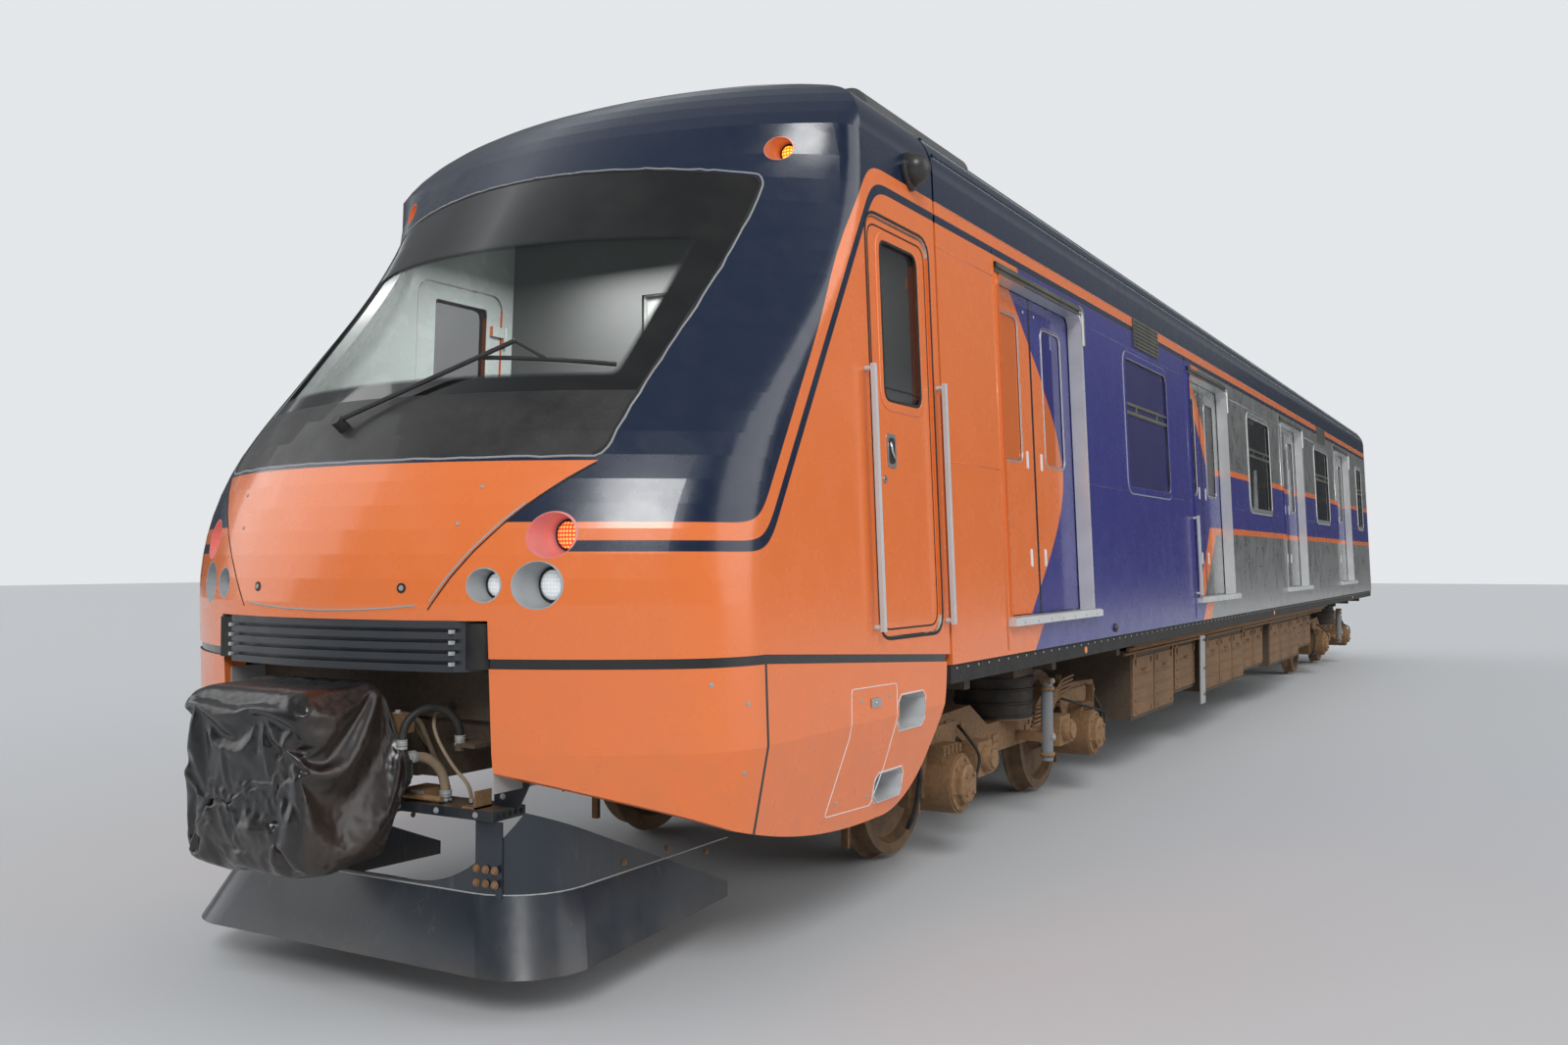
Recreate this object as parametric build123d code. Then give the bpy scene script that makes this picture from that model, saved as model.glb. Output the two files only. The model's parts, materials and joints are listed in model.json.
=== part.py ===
from build123d import *
import math
import os

# A metro driving car. Lengths are in millimetres. Stations along the car are
# counted from the joint between the cab mask and the saloon, positive to the
# rear, and heights from the rail top. LEFT is the car's left-hand side, +X.
# keep() moves each piece to the shared frame: its origin is under the middle
# of the car, at the lowest point of the wheel flanges, with the cab at -Y.
LEFT = 1
RIGHT = -1
SIDES = (RIGHT, LEFT)
SEAT = 0.3

# Track and wheels
GAUGE = 1600
FLANGE_DEPTH = 28
FLANGE_WIDTH = 32
WHEEL_R = 430
WHEEL_WIDTH = 135
WHEEL_BACK_X = GAUGE / 2 - 40
TREAD_FALL = 6
RIM_THICK = 65
RIM_FILLET = 28
WEB_SET_IN = 52
HUB_THICK = 45
HUB_PROUD = 20
AXLE_R = 85
JOURNAL_R = 65
JOURNAL_END = 1215
WHEELBASE = 2500
BRAKE_DISC_R = 300
BRAKE_DISC_X = 420

# Bogies
FRONT_PIVOT_Y = 1890
REAR_PIVOT_Y = 15900
BOGIE_YAW_DEG = 5
PIVOT_R = 110
PIVOT_BOTTOM = 600
PIVOT_CLEARANCE = 0.3
AXLE_BOX_R = 165
AXLE_BOX_X0 = 965
AXLE_BOX_X1 = 1300
BEAM_X = 1050
BEAM_WIDTH = 170
BEAM_OVERHANG = 540
CROSS_BEAM_HALF = 260
MOTOR_Y = 640
MOTOR_R = 190
MOTOR_HALF = 260
RAIL_GUARD_AHEAD = 70
AIR_SPRING_X = 1020
AIR_SPRING_R = 250
AIR_SPRING_TOP = 928
AIR_SPRING_SEAT = 660
DAMPER_X = 1335
DAMPER_R = 38

# Body section
SIDE_X = 1515
SIDE_X_HEIGHT = 1200
SIDE_LEAN = 2.26
WALL_THICK = 150
SIDE_BOTTOM = 1134
SIDE_TOP = 3505
SHOULDER_Z = 3650
SHOULDER_R = 300
SHOULDER_TURN = 80
CAR_REAR = 18870
JOINT_GAP = 24
FLOOR_Z = 1335
SOLE_BOTTOM = 1040
SOLE_HALF = SIDE_X - 25
SOLE_STRIP_THICK = 16
BEAM_DEPTH = 80
CROSS_MEMBER_HALF = SIDE_X - 135
BOLSTER_HALF = SIDE_X - 265
LONG_BEAM_X = 560
LONG_BEAM_WIDTH = 120

# Passenger doors
DOOR_COUNT = 4
DOOR_PITCH = 4695
DOOR_FIRST_Y = 1678
DOOR_WIDTH = 1600
DOOR_SILL_Z = 1330
DOOR_HEAD_Z = 3321
DOOR_CORNER_R = 90
FRAME_THICK = 24
FRAME_PROUD = 6
SILL_PROUD = 48
SILL_SPREAD = 40
SILL_DROP = 40
SILL_THICK = 8
LEAF_DEPTH = 95
LEAF_THICK = 34
LEAF_LAP = 16
LEAF_TRAVEL = 760
LEAF_CLEARANCE = 6
LEAF_WINDOW_WIDTH = 380
LEAF_WINDOW_Z0 = 2262
LEAF_WINDOW_Z1 = 3146
LEAF_PANE_THICK = 12

# Saloon windows
WINDOW_OFFSET = 108
WINDOW_WIDTH = 1280
WINDOW_Z0 = 2181
WINDOW_Z1 = 3194
WINDOW_CORNER_R = 70
PANE_THICK = 16
PANE_DEPTH = 14
REAR_WINDOW_Y = 17850
REAR_WINDOW_WIDTH = 700

# Saloon poles
POLE_X = 760
POLE_R = 17
POLE_RAIL_Z = 3150
POLE_FROM_DOOR = 950

# Cab mask
MASK_THICK = 60
MASK_BACK = -JOINT_GAP / 2
TUCK_TOP = 1000
TUCK_R = 1650
# height and front face at the middle, of the nose's upright foot
NOSE_FOOT = (
    (430, -2600),
    (950, -2645),
    (1500, -2677),
)
BEND_STEPS = 8
RAKE_Z = 2250
RAKE_LEAN = 38.6
BROW_Z = 3650
# The corner starts this far behind the front face, and falls back faster
# than the rake up to CORNER_EASE_Z, where it starts to turn upright.
CORNER_RUN = 820
CORNER_RUN_LOSS = 36
CORNER_R = 466
CORNER_TURN_Z = 2330
CORNER_TURN_R = 330
CORNER_SLOPE = 0.92
CORNER_EASE_Z = 2790
CORNER_EASE_STEPS = 6
CORNER_UPRIGHT_Z = 3500
CORNER_TOP_R = 150
ROOF_CREST = 4075
ROOF_LEAN = 88
ROOF_STEPS = 10
ROOF_SPREAD = 36

# Skirt and notch
SKIRT_TOP_FRONT = 1300
SKIRT_TOP_REAR = 1189
SKIRT_JOINT_Y = -1834
SKIRT_BAND = 36
SKIRT_GROOVE = 8
NOTCH_HALF = 740
NOTCH_TOP = 1440
SKIRT_THICK = 35
# Step pockets in the skirt below the cab door: y0, y1, z0, z1, rim's depth
STEP_POCKETS = (
    (-640, -340, 875, 1035, 10),
    (-790, -490, 560, 690, 77),
)
STEP_DEPTH = 210
STEP_SHEET = 3
STEP_CORNER = 30

# Front end: the windshield and the apron below it share one outline
SCREEN_LOW_HALF = SIDE_X - 470
SCREEN_LOW_Z = 2062
SCREEN_TOP_HALF = SIDE_X - 410
SCREEN_CORNER_Z = 3380
SCREEN_CREST_Z = 3450
SCREEN_CORNER_R = 60
SCREEN_LIP = 45
SCREEN_THICK = 18
GLASS_Z0 = 2328
PANEL_GAP = 0.3
HATCH_TOP_Z = 2040
HATCH_BOTTOM_Z = 1489
HATCH_FLANK_R = 2331
HATCH_FLANK_X = 2436
HATCH_FLANK_Z = 173
HATCH_BOW = 26
HATCH_THICK = 26
# distance from the middle, height, bezel radius, lens radius, colour
LAMPS = (
    (725, 1572, 66, 45, "white"),
    (913, 1572, 90, 60, "white"),
    (946, 1758, 88, 54, "red"),
    (SIDE_X - 375, 3527, 60, 36, "amber"),
)
LAMP_RIM = 3
LAMP_SINK = 60
LAMP_LENS_THICK = 44
LAMP_BACK = 8

# Wiper: distance from the middle and height, on the face of the front
WIPER_PIVOT = (-130, 2205)
WIPER_ELBOW = (530, 2510)
WIPER_BLADE = ((400, 2474), (670, 2456), (941, 2428))
WIPER_ARM_R = 10
# The front is lofted in straight strips, up to this far inside its curve.
STRIP_FALL = 1.3
WIPER_BLADE_R = 9

# Cab side doors
CAB_DOOR_Y0 = -805
CAB_DOOR_Y1 = -105
CAB_DOOR_Z0 = 1305
CAB_DOOR_Z1 = 3268
CAB_DOOR_THICK = 44
CAB_DOOR_SET_IN = 10
CAB_DOOR_CLEARANCE = 9
CAB_DOOR_CORNER_R = 90
CAB_WINDOW_Y0 = -657
CAB_WINDOW_Y1 = -235
CAB_WINDOW_Z0 = 2410
CAB_WINDOW_Z1 = 3170
CAB_WINDOW_CORNER_R = 50
CAB_PANE_THICK = 10
CAB_PANE_DEPTH = 8
CAB_HINGE_SETBACK = 10
CAB_HINGE_DEPTH = 80
CAB_HINGE_R = 14
CAB_HINGE_PIN_R = 7
CAB_HINGE_LENGTH = 60
CAB_HINGE_HEIGHTS = (1480, 2250, 3020)
# The leaning door sinks at its front edge as it swings in over the floor.
CAB_FLOOR_Z = CAB_DOOR_Z0 - 30
CAB_FLOOR_HALF = SIDE_X - 75
CAB_FLOOR_FRONT = -2330
DESK_HALF = SIDE_X - 365

# Coupler and deflector
COUPLER_Z = 880
COVER_FRONT = -3025
COVER_REAR = -2665
COVER_HALF = 345
COVER_Z0 = 540
COVER_Z1 = 1220
COVER_WALL = 12
COVER_CHAMFER = 60
COVER_NECK_REAR = -2560
COVER_NECK_HALF = 400
COVER_NECK_Z = (780, 960)
SHANK_R = 70
TRAY_HALF = 690
TRAY_FRONT = -2450
TRAY_REAR = -2270
TRAY_BOTTOM = 683
TRAY_TOP = 722
TRAY_HANGER_X = 608
REAR_END = 19250
DRAWBAR_ROOT_Y = 18700
DRAWBAR_R = 80
DRAWBAR_FLANGE_R = 150
DRAWBAR_FLANGE_THICK = 40
DRAWBAR_BOLTS = 6
DRAWBAR_BOLT_R = 13
DRAWBAR_BOLT_CIRCLE_R = 115
PLOW_Z0 = 145
PLOW_BEND_Z = 410
PLOW_PEAK_Z = 745
PLOW_TIP_Z = 200
PLOW_HALF = 885
PLOW_FRONT = -2452
PLOW_FLARE = 122
PLOW_REAR = -1100
PLOW_CORNER_R = 290
PLOW_THICK = 16
PLOW_BRACKET_X = (590, 720)
PLOW_BRACKET_THICK = 8

# Hoses between the car and the coupler. Each route is a list of control
# points that starts at the cover's neck, or at the tap on the floor's front.
BRAKE_HOSE_R = 16
BRAKE_HOSE = (
    (370, -2600, 960),
    (370, -2600, 1018),
    (383, -2573, 1071),
    (406, -2525, 1102),
    (433, -2470, 1103),
    (456, -2423, 1072),
    (469, -2395, 1018),
    (469, -2395, 960),
)
MAIN_HOSE_R = 19
MAIN_HOSE = (
    (360, -2560, 915),
    (360, -2500, 915),
    (370, -2446, 893),
    (382, -2407, 849),
    (389, -2389, 793),
    (389, -2389, 737),
)
JUMPER_CABLE_R = 7
JUMPER_CABLE = (
    (380, -2372, 1085),
    (380, -2410, 1085),
    (384, -2444, 1068),
    (394, -2462, 1032),
    (412, -2462, 985),
    (440, -2448, 925),
    (478, -2428, 860),
    (520, -2408, 812),
    (534, -2400, 768),
    (534, -2400, 737),
)
ARC_SHARE = 0.45
TAP_LENGTH = 15
TAP_RIM = 5

CAR_MID_Y = (COVER_FRONT + REAR_END) / 2

LEAN_COS = math.cos(math.radians(SIDE_LEAN))
LEAN_SIN = math.sin(math.radians(SIDE_LEAN))


def keep(name, *solids):
    """Write one sub-part in the shared frame."""
    shape = Compound(children=[piece for solid in solids for piece in solid.solids()])
    export_step(Pos(0, -CAR_MID_Y, FLANGE_DEPTH) * shape, f"parts/{name}.step")


def block(x0, x1, y0, y1, z0, z1):
    return Pos((x0 + x1) / 2, (y0 + y1) / 2, (z0 + z1) / 2) * Box(x1 - x0, y1 - y0, z1 - z0)


def rod_x(x0, x1, y, z, radius):
    return Pos((x0 + x1) / 2, y, z) * Rot(0, 90, 0) * Cylinder(radius, x1 - x0)


def rod_y(x, y0, y1, z, radius):
    return Pos(x, (y0 + y1) / 2, z) * Rot(90, 0, 0) * Cylinder(radius, y1 - y0)


def rod_z(x, y, z0, z1, radius):
    return Pos(x, y, (z0 + z1) / 2) * Cylinder(radius, z1 - z0)


def other_side(shape):
    return mirror(shape, about=Plane.YZ)


def join(solids):
    total = solids[0]
    for solid in solids[1:]:
        total = total + solid
    return total


def prism_x(points, x0, x1):
    """A polygon of (station, height) points, run from x0 to x1."""
    loop = [(x0, y, z) for y, z in points]
    face = Face(Wire([Line(a, b) for a, b in zip(loop, loop[1:] + loop[:1])]))
    return extrude(face, amount=x1 - x0, dir=(1, 0, 0))


def side_x(z):
    return SIDE_X - math.tan(math.radians(SIDE_LEAN)) * (z - SIDE_X_HEIGHT)


# The left side wall's own plane: x runs along the car, y up the wall and z
# out of it, so that everything in the wall leans with it.
WALL_PLANE = Plane(origin=(side_x(0), 0, 0), x_dir=(0, 1, 0), z_dir=(LEAN_COS, 0, LEAN_SIN))


def wall_box(y0, y1, z0, z1, depth0, depth1, corner=0.0):
    """A panel in the left wall between two depths behind its outer face."""
    height = (z1 - z0) / LEAN_COS
    outline = Rectangle(y1 - y0, height)
    if corner:
        outline = RectangleRounded(y1 - y0, height, corner)
    panel = extrude(outline, amount=depth1 - depth0)
    return WALL_PLANE * Pos((y0 + y1) / 2, (z0 + z1) / 2 / LEAN_COS, -depth1) * panel


def wall_arch(y0, y1, z0, z1, depth0, depth1, corner):
    """As wall_box, but only the upper two corners are rounded."""
    rounded = wall_box(y0, y1, z0, z1, depth0, depth1, corner)
    return rounded + wall_box(y0, y1, z0, z1 - 2 * corner, depth0, depth1)


def wall_octagon(y0, y1, z0, z1, depth0, depth1):
    """As wall_box, with the corners cut off."""
    outline = Rectangle(y1 - y0, (z1 - z0) / LEAN_COS)
    outline = chamfer(outline.vertices(), STEP_CORNER)
    panel = extrude(outline, amount=depth1 - depth0)
    return WALL_PLANE * Pos((y0 + y1) / 2, (z0 + z1) / 2 / LEAN_COS, -depth1) * panel


def wall_rod(y, z, depth0, depth1, radius):
    """A round peg that stands square out of the left wall."""
    rod = Pos(y, z / LEAN_COS, -(depth0 + depth1) / 2) * Cylinder(radius, depth1 - depth0)
    return WALL_PLANE * rod


def wall_pin(y, z0, z1, depth, radius):
    """A round rod that runs up the left wall, at one depth."""
    rod = Rot(90, 0, 0) * Cylinder(radius, (z1 - z0) / LEAN_COS)
    return WALL_PLANE * Pos(y, (z0 + z1) / 2 / LEAN_COS, -depth) * rod


def shoulder_centre():
    x = side_x(SHOULDER_Z) - SHOULDER_R * LEAN_COS
    return x, SHOULDER_Z - SHOULDER_R * LEAN_SIN


def crown():
    """The radius of the roof crown and the height of its centre."""
    x, z = shoulder_centre()
    turn = math.radians(SHOULDER_TURN)
    end_x = x + SHOULDER_R * math.cos(turn)
    radius = end_x / math.cos(turn)
    return radius, z + SHOULDER_R * math.sin(turn) - radius * math.sin(turn)


def roof_height(x, inset=0.0):
    radius, centre_z = crown()
    return centre_z + math.sqrt((radius - inset) ** 2 - x ** 2)


def section(y, inset, z_low):
    """The body's cross-section, set in by a wall thickness, as a face."""
    cx, cz = shoulder_centre()
    radius = SHOULDER_R - inset
    arc = []
    for turn in (SIDE_LEAN, (SIDE_LEAN + SHOULDER_TURN) / 2, SHOULDER_TURN):
        angle = math.radians(turn)
        arc.append((cx + radius * math.cos(angle), cz + radius * math.sin(angle)))
    low = (side_x(z_low) - inset / LEAN_COS, z_low)

    def at(point, side):
        return (side * point[0], y, point[1])

    top = (0, y, roof_height(0, inset))
    edges = [
        Line(at(low, RIGHT), at(low, LEFT)),
        Line(at(low, LEFT), at(arc[0], LEFT)),
        ThreePointArc(at(arc[0], LEFT), at(arc[1], LEFT), at(arc[2], LEFT)),
        ThreePointArc(at(arc[2], LEFT), top, at(arc[2], RIGHT)),
        ThreePointArc(at(arc[2], RIGHT), at(arc[1], RIGHT), at(arc[0], RIGHT)),
        Line(at(arc[0], RIGHT), at(low, RIGHT)),
    ]
    return Face(Wire(edges))


def body_prism(y0, y1, inset, z_low):
    return extrude(section(y0, inset, z_low), amount=y1 - y0, dir=(0, 1, 0))


def mask_half(z):
    tuck = max(0.0, TUCK_TOP - z) ** 2 / (2 * TUCK_R)
    return side_x(max(z, TUCK_TOP)) - tuck


def nose_front(z):
    """Station and lean of the front at one height, at the middle of the car."""
    if z <= NOSE_FOOT[-1][0]:
        for low, high in zip(NOSE_FOOT, NOSE_FOOT[1:]):
            if z <= high[0]:
                break
        return low[1] + (z - low[0]) / (high[0] - low[0]) * (high[1] - low[1]), 0.0
    foot_z, foot_y = NOSE_FOOT[-1]
    rake = math.radians(RAKE_LEAN)
    bend_r = (RAKE_Z - foot_z) / math.sin(rake)
    lean = min(math.asin(min(1.0, (z - foot_z) / bend_r)), rake)
    front = foot_y + bend_r * (1 - math.cos(lean)) + max(0.0, z - RAKE_Z) * math.tan(rake)
    return front, math.degrees(lean)


def nose_corner(z):
    """Station where the corner meets the side, and its radius, at one height."""
    foot_z = NOSE_FOOT[-1][0]
    share = min(1.0, max(0.0, (z - foot_z) / (CORNER_TURN_Z - foot_z)))
    front = nose_front(min(z, CORNER_TURN_Z))[0]
    y = front + CORNER_RUN - CORNER_RUN_LOSS * share
    y = y + CORNER_SLOPE * max(0.0, min(z, CORNER_EASE_Z) - CORNER_TURN_Z)
    ease = min(max(0.0, z - CORNER_EASE_Z), CORNER_UPRIGHT_Z - CORNER_EASE_Z)
    y = y + CORNER_SLOPE * ease * (1 - ease / (CORNER_UPRIGHT_Z - CORNER_EASE_Z) / 2)
    radius = CORNER_R + share ** 2 * (CORNER_TURN_R - CORNER_R)
    above = min(1.0, max(0.0, (z - CORNER_TURN_Z) / (CORNER_UPRIGHT_Z - CORNER_TURN_Z)))
    return y, radius + above * (CORNER_TOP_R - CORNER_TURN_R)


def steps_between(low, high, count):
    return [low + (high - low) * step / count for step in range(count + 1)]


def crown_in_plan(front, half, corner_y, corner_r):
    """Radius of the front's arc that runs into both corner arcs."""
    run = corner_y - front
    x = half - corner_r
    return (x ** 2 + run ** 2 - corner_r ** 2) / (2 * (run - corner_r))


def plan_face(z, front, lean, corner_y, corner_r, back, inset, spread=0.0):
    """The mask's outline at one height, set in square to its surface."""
    angle = math.radians(lean)
    half = mask_half(z) - inset + spread
    z = z - inset * math.sin(angle)
    front = front + inset * math.cos(angle)
    corner_r = corner_r - inset
    arc_r = crown_in_plan(front, half, corner_y, corner_r)
    ux = (half - corner_r) / (arc_r - corner_r)
    uy = (corner_y - front - arc_r) / (arc_r - corner_r)
    tangent_x, tangent_y = ux * arc_r, front + arc_r + uy * arc_r
    middle = math.atan2(uy, ux) / 2
    mid_x = half - corner_r + corner_r * math.cos(middle)
    mid_y = corner_y + corner_r * math.sin(middle)
    edges = [
        Line((-half, back, z), (half, back, z)),
        Line((half, back, z), (half, corner_y, z)),
        ThreePointArc((half, corner_y, z), (mid_x, mid_y, z), (tangent_x, tangent_y, z)),
        ThreePointArc((tangent_x, tangent_y, z), (0, front, z), (-tangent_x, tangent_y, z)),
        ThreePointArc((-tangent_x, tangent_y, z), (-mid_x, mid_y, z), (-half, corner_y, z)),
        Line((-half, corner_y, z), (-half, back, z)),
    ]
    return Face(Wire(edges))


def nose_face(z, back, inset):
    front, lean = nose_front(z)
    corner_y, corner_r = nose_corner(z)
    return plan_face(z, front, lean, corner_y, corner_r, back, inset)


def mask_block(inset, back):
    """The whole cab nose as a solid, set in by a wall thickness."""
    foot = [z for z, front in NOSE_FOOT]
    bend = steps_between(foot[-1], RAKE_Z, BEND_STEPS)
    low_rows = foot[:-1] + bend + [CORNER_TURN_Z]
    high_rows = [CORNER_TURN_Z] + steps_between(CORNER_EASE_Z, CORNER_UPRIGHT_Z, CORNER_EASE_STEPS) + [BROW_Z]
    lower = loft([nose_face(z, back, inset) for z in low_rows], ruled=True)
    raked = loft([nose_face(z, back, inset) for z in high_rows], ruled=True)
    corner_y, corner_r = nose_corner(BROW_Z)
    rake = math.radians(RAKE_LEAN)
    radius = (ROOF_CREST - BROW_Z) / (1 - math.sin(rake))
    centre_y = nose_front(BROW_Z)[0] + radius * math.cos(rake)
    centre_z = BROW_Z - radius * math.sin(rake)
    rows = []
    for lean in steps_between(RAKE_LEAN, ROOF_LEAN, ROOF_STEPS):
        front = centre_y - radius * math.cos(math.radians(lean))
        z = centre_z + radius * math.sin(math.radians(lean))
        setback = corner_y + front - nose_front(BROW_Z)[0]
        spread = ROOF_SPREAD * (lean - RAKE_LEAN) / (ROOF_LEAN - RAKE_LEAN)
        rows.append(plan_face(z, front, lean, setback, corner_r, back + 1500, inset, spread))
    roof = loft(rows, ruled=True) & body_prism(-1500, back, inset, SHOULDER_Z - 200)
    return lower + raked + roof


def front_y(x, z):
    """Station of the mask's outer face, near the middle of the front."""
    front = nose_front(z)[0]
    arc_r = crown_in_plan(front, mask_half(z), *nose_corner(z))
    return front + arc_r - math.sqrt(arc_r ** 2 - x ** 2)


def on_front(x, z, proud):
    """The point that stands a distance out from the front, square to it."""
    slope_x = (front_y(x + 1, z) - front_y(x - 1, z)) / 2
    slope_z = (front_y(x, z + 1) - front_y(x, z - 1)) / 2
    size = math.sqrt(1 + slope_x ** 2 + slope_z ** 2)
    return (
        x + proud * slope_x / size,
        front_y(x, z) - proud / size,
        z + proud * slope_z / size,
    )


def rod_between(start, end, radius):
    run = Vector(*end) - Vector(*start)
    return extrude(Plane(start, z_dir=run) * Circle(radius), amount=run.length)


def front_prism(outline, y0=-3000, y1=-900):
    """A sketch drawn as seen from the front, run back through the nose."""
    plane = Plane(origin=(0, y0, 0), x_dir=(1, 0, 0), z_dir=(0, -1, 0))
    return plane * extrude(outline, amount=-(y1 - y0))


def screen_half(z):
    share = (z - SCREEN_LOW_Z) / (SCREEN_CORNER_Z - SCREEN_LOW_Z)
    return SCREEN_LOW_HALF + share * (SCREEN_TOP_HALF - SCREEN_LOW_HALF)


def screen_outline(z0, grow=0.0):
    """The arched windshield seen from the front, down to the height z0."""
    low, high = screen_half(z0) + grow, SCREEN_TOP_HALF + grow
    z0, z1 = z0 - grow, SCREEN_CORNER_Z + grow
    edges = [
        Line((-low, z0), (low, z0)),
        Line((low, z0), (high, z1)),
        ThreePointArc((high, z1), (0, SCREEN_CREST_Z + grow), (-high, z1)),
        Line((-high, z1), (-low, z0)),
    ]
    face = make_face(edges)
    return fillet(face.vertices().group_by(Axis.Y)[-1], SCREEN_CORNER_R + grow)


def hatch_half(z, grow):
    """Half width of the hatch, whose hollow flanks are arcs."""
    reach = (HATCH_FLANK_R - grow) ** 2 - (z - HATCH_FLANK_Z) ** 2
    return HATCH_FLANK_X - math.sqrt(reach)


def hatch_outline(grow=0.0):
    top_z, low_z = HATCH_TOP_Z + grow, HATCH_BOTTOM_Z - grow
    waist_z = (top_z + low_z) / 2
    top, waist, low = [hatch_half(z, grow) for z in (top_z, waist_z, low_z)]
    edges = [
        Line((-top, top_z), (top, top_z)),
        ThreePointArc((top, top_z), (waist, waist_z), (low, low_z)),
        ThreePointArc((low, low_z), (0, low_z - HATCH_BOW), (-low, low_z)),
        ThreePointArc((-low, low_z), (-waist, waist_z), (-top, top_z)),
    ]
    return make_face(edges)


def skirt_split():
    """Side view of everything below the mask's lower edge."""
    points = [
        (-3000, SKIRT_TOP_FRONT),
        (SKIRT_JOINT_Y, SKIRT_TOP_FRONT),
        (100, SKIRT_TOP_REAR - 6),
        (100, 300),
        (-3000, 300),
    ]
    return prism_x(points, -1700, 1700)


def skirt_limits():
    """Side view of the skirts: their lower edge and the rear edge's curve."""
    x = -1700
    edges = [
        Line((x, -60, 1310), (x, -60, 1190)),
        ThreePointArc((x, -60, 1190), (x, -100, 960), (x, -210, 755)),
        ThreePointArc((x, -210, 755), (x, -420, 545), (x, -700, 482)),
        ThreePointArc((x, -700, 482), (x, -1350, 515), (x, -1950, 637)),
        ThreePointArc((x, -1950, 637), (x, -2330, 795), (x, -2760, 1005)),
        Line((x, -2760, 1005), (x, -2760, 1310)),
        Line((x, -2760, 1310), (x, -60, 1310)),
    ]
    return extrude(Face(Wire(edges)), amount=-2 * x, dir=(1, 0, 0))


def cab_shapes():
    return mask_block(0, MASK_BACK), mask_block(MASK_THICK, 60)


def lamp_edge(x, z, radius):
    """Station where a lamp's round mouth lies furthest back."""
    turns = [math.radians(15 * step) for step in range(7)]
    return max(front_y(x + radius * math.cos(turn), z + radius * math.sin(turn)) for turn in turns)


def cab_mask(outer, inner):
    """The moulded nose shell, with the windshield's rebate and all openings."""
    shell = outer - inner
    shell = shell - skirt_split()
    rebate = front_skin(outer, SCREEN_THICK + SEAT) & front_prism(screen_outline(SCREEN_LOW_Z))
    shell = shell - rebate - front_prism(screen_outline(GLASS_Z0, -SCREEN_LIP))
    shell = shell - front_prism(hatch_outline())
    shell = shell - block(-NOTCH_HALF, NOTCH_HALF, -2900, -2000, 900, NOTCH_TOP)
    for x, z, bezel_r, lens_r, colour in LAMPS:
        edge = lamp_edge(x, z, bezel_r)
        bore = rod_y(x, edge - 400, edge + 400, z, bezel_r)
        shell = shell - bore - other_side(bore)
    door = wall_box(CAB_DOOR_Y0, CAB_DOOR_Y1, CAB_DOOR_Z0, CAB_DOOR_Z1, -20, 120, CAB_DOOR_CORNER_R)
    shell = shell - door - other_side(door)
    for half in cab_hinge_halves()[1]:
        shell = shell + half + other_side(half)
    return shell


def front_skin(outer, depth):
    """The outer layer of the nose, for panels set into it."""
    return outer - mask_block(depth, 60)


def front_panels(outer):
    """The windshield, the dark apron below it and the hatch over the coupler."""
    skin = front_skin(outer, SCREEN_THICK) & block(-1200, 1200, -2900, -900, 2000, 3600)
    glass = skin & front_prism(screen_outline(GLASS_Z0, -PANEL_GAP))
    apron = skin & front_prism(screen_outline(SCREEN_LOW_Z, -PANEL_GAP))
    apron = apron & block(-1200, 1200, -2900, -900, 2000, GLASS_Z0)
    thick = front_skin(outer, HATCH_THICK) & block(-1200, 1200, -2900, -2200, 1400, 2100)
    hatch = thick & front_prism(hatch_outline(-PANEL_GAP))
    return glass, apron, hatch


def lamp_bowl(x, z, wide, narrow, mouth, floor):
    """The hollow of a lamp: a cone that narrows to the lens, open in front."""
    cone = Pos(x, (mouth + floor) / 2, z) * Rot(-90, 0, 0) * Cone(wide, narrow, floor - mouth)
    return cone + rod_y(x, mouth - 400, mouth, z, wide)


def lamps(outer):
    """Bowls and lenses of the lamps on both sides, as two lists."""
    bowls, lenses = [], {"white": [], "red": [], "amber": []}
    for x, z, bezel_r, lens_r, colour in LAMPS:
        edge = lamp_edge(x, z, bezel_r)
        floor = edge + LAMP_SINK
        back = floor + LAMP_LENS_THICK
        body = rod_y(x, edge - 400, back + LAMP_BACK, z, bezel_r - PANEL_GAP) & outer
        body = body - lamp_bowl(x, z, bezel_r - LAMP_RIM, lens_r + 8, edge - LAMP_SINK / 2, floor)
        body = body - rod_y(x, floor - 1, back, z, lens_r + SEAT)
        lens = rod_y(x, floor - 6, back - SEAT, z, lens_r)
        bowls.extend([body, other_side(body)])
        lenses[colour].extend([lens, other_side(lens)])
    return bowls, lenses["white"], lenses["red"] + lenses["amber"]


def skirts(outer):
    """The lower panels, with a sunk band along the top."""
    shell = outer - mask_block(SKIRT_THICK, 60)
    shell = shell & skirt_limits()
    shell = shell & (Pos(0, 0, -SEAT) * skirt_split())
    shell = shell - block(-NOTCH_HALF, NOTCH_HALF, -2900, -2000, 300, NOTCH_TOP)
    skin = front_skin(outer, SKIRT_GROOVE)
    band = skirt_split() - Pos(0, 0, -SKIRT_BAND) * skirt_split()
    shell = shell - (skin & band)
    shell = shell - block(-1700, 1700, SKIRT_JOINT_Y - SEAT, SKIRT_JOINT_Y, 300, 1400)
    for y0, y1, z0, z1, rim in STEP_POCKETS:
        hole = wall_octagon(y0, y1, z0, z1, -60, STEP_DEPTH + 10)
        shell = shell - hole - other_side(hole)
    return shell


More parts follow.
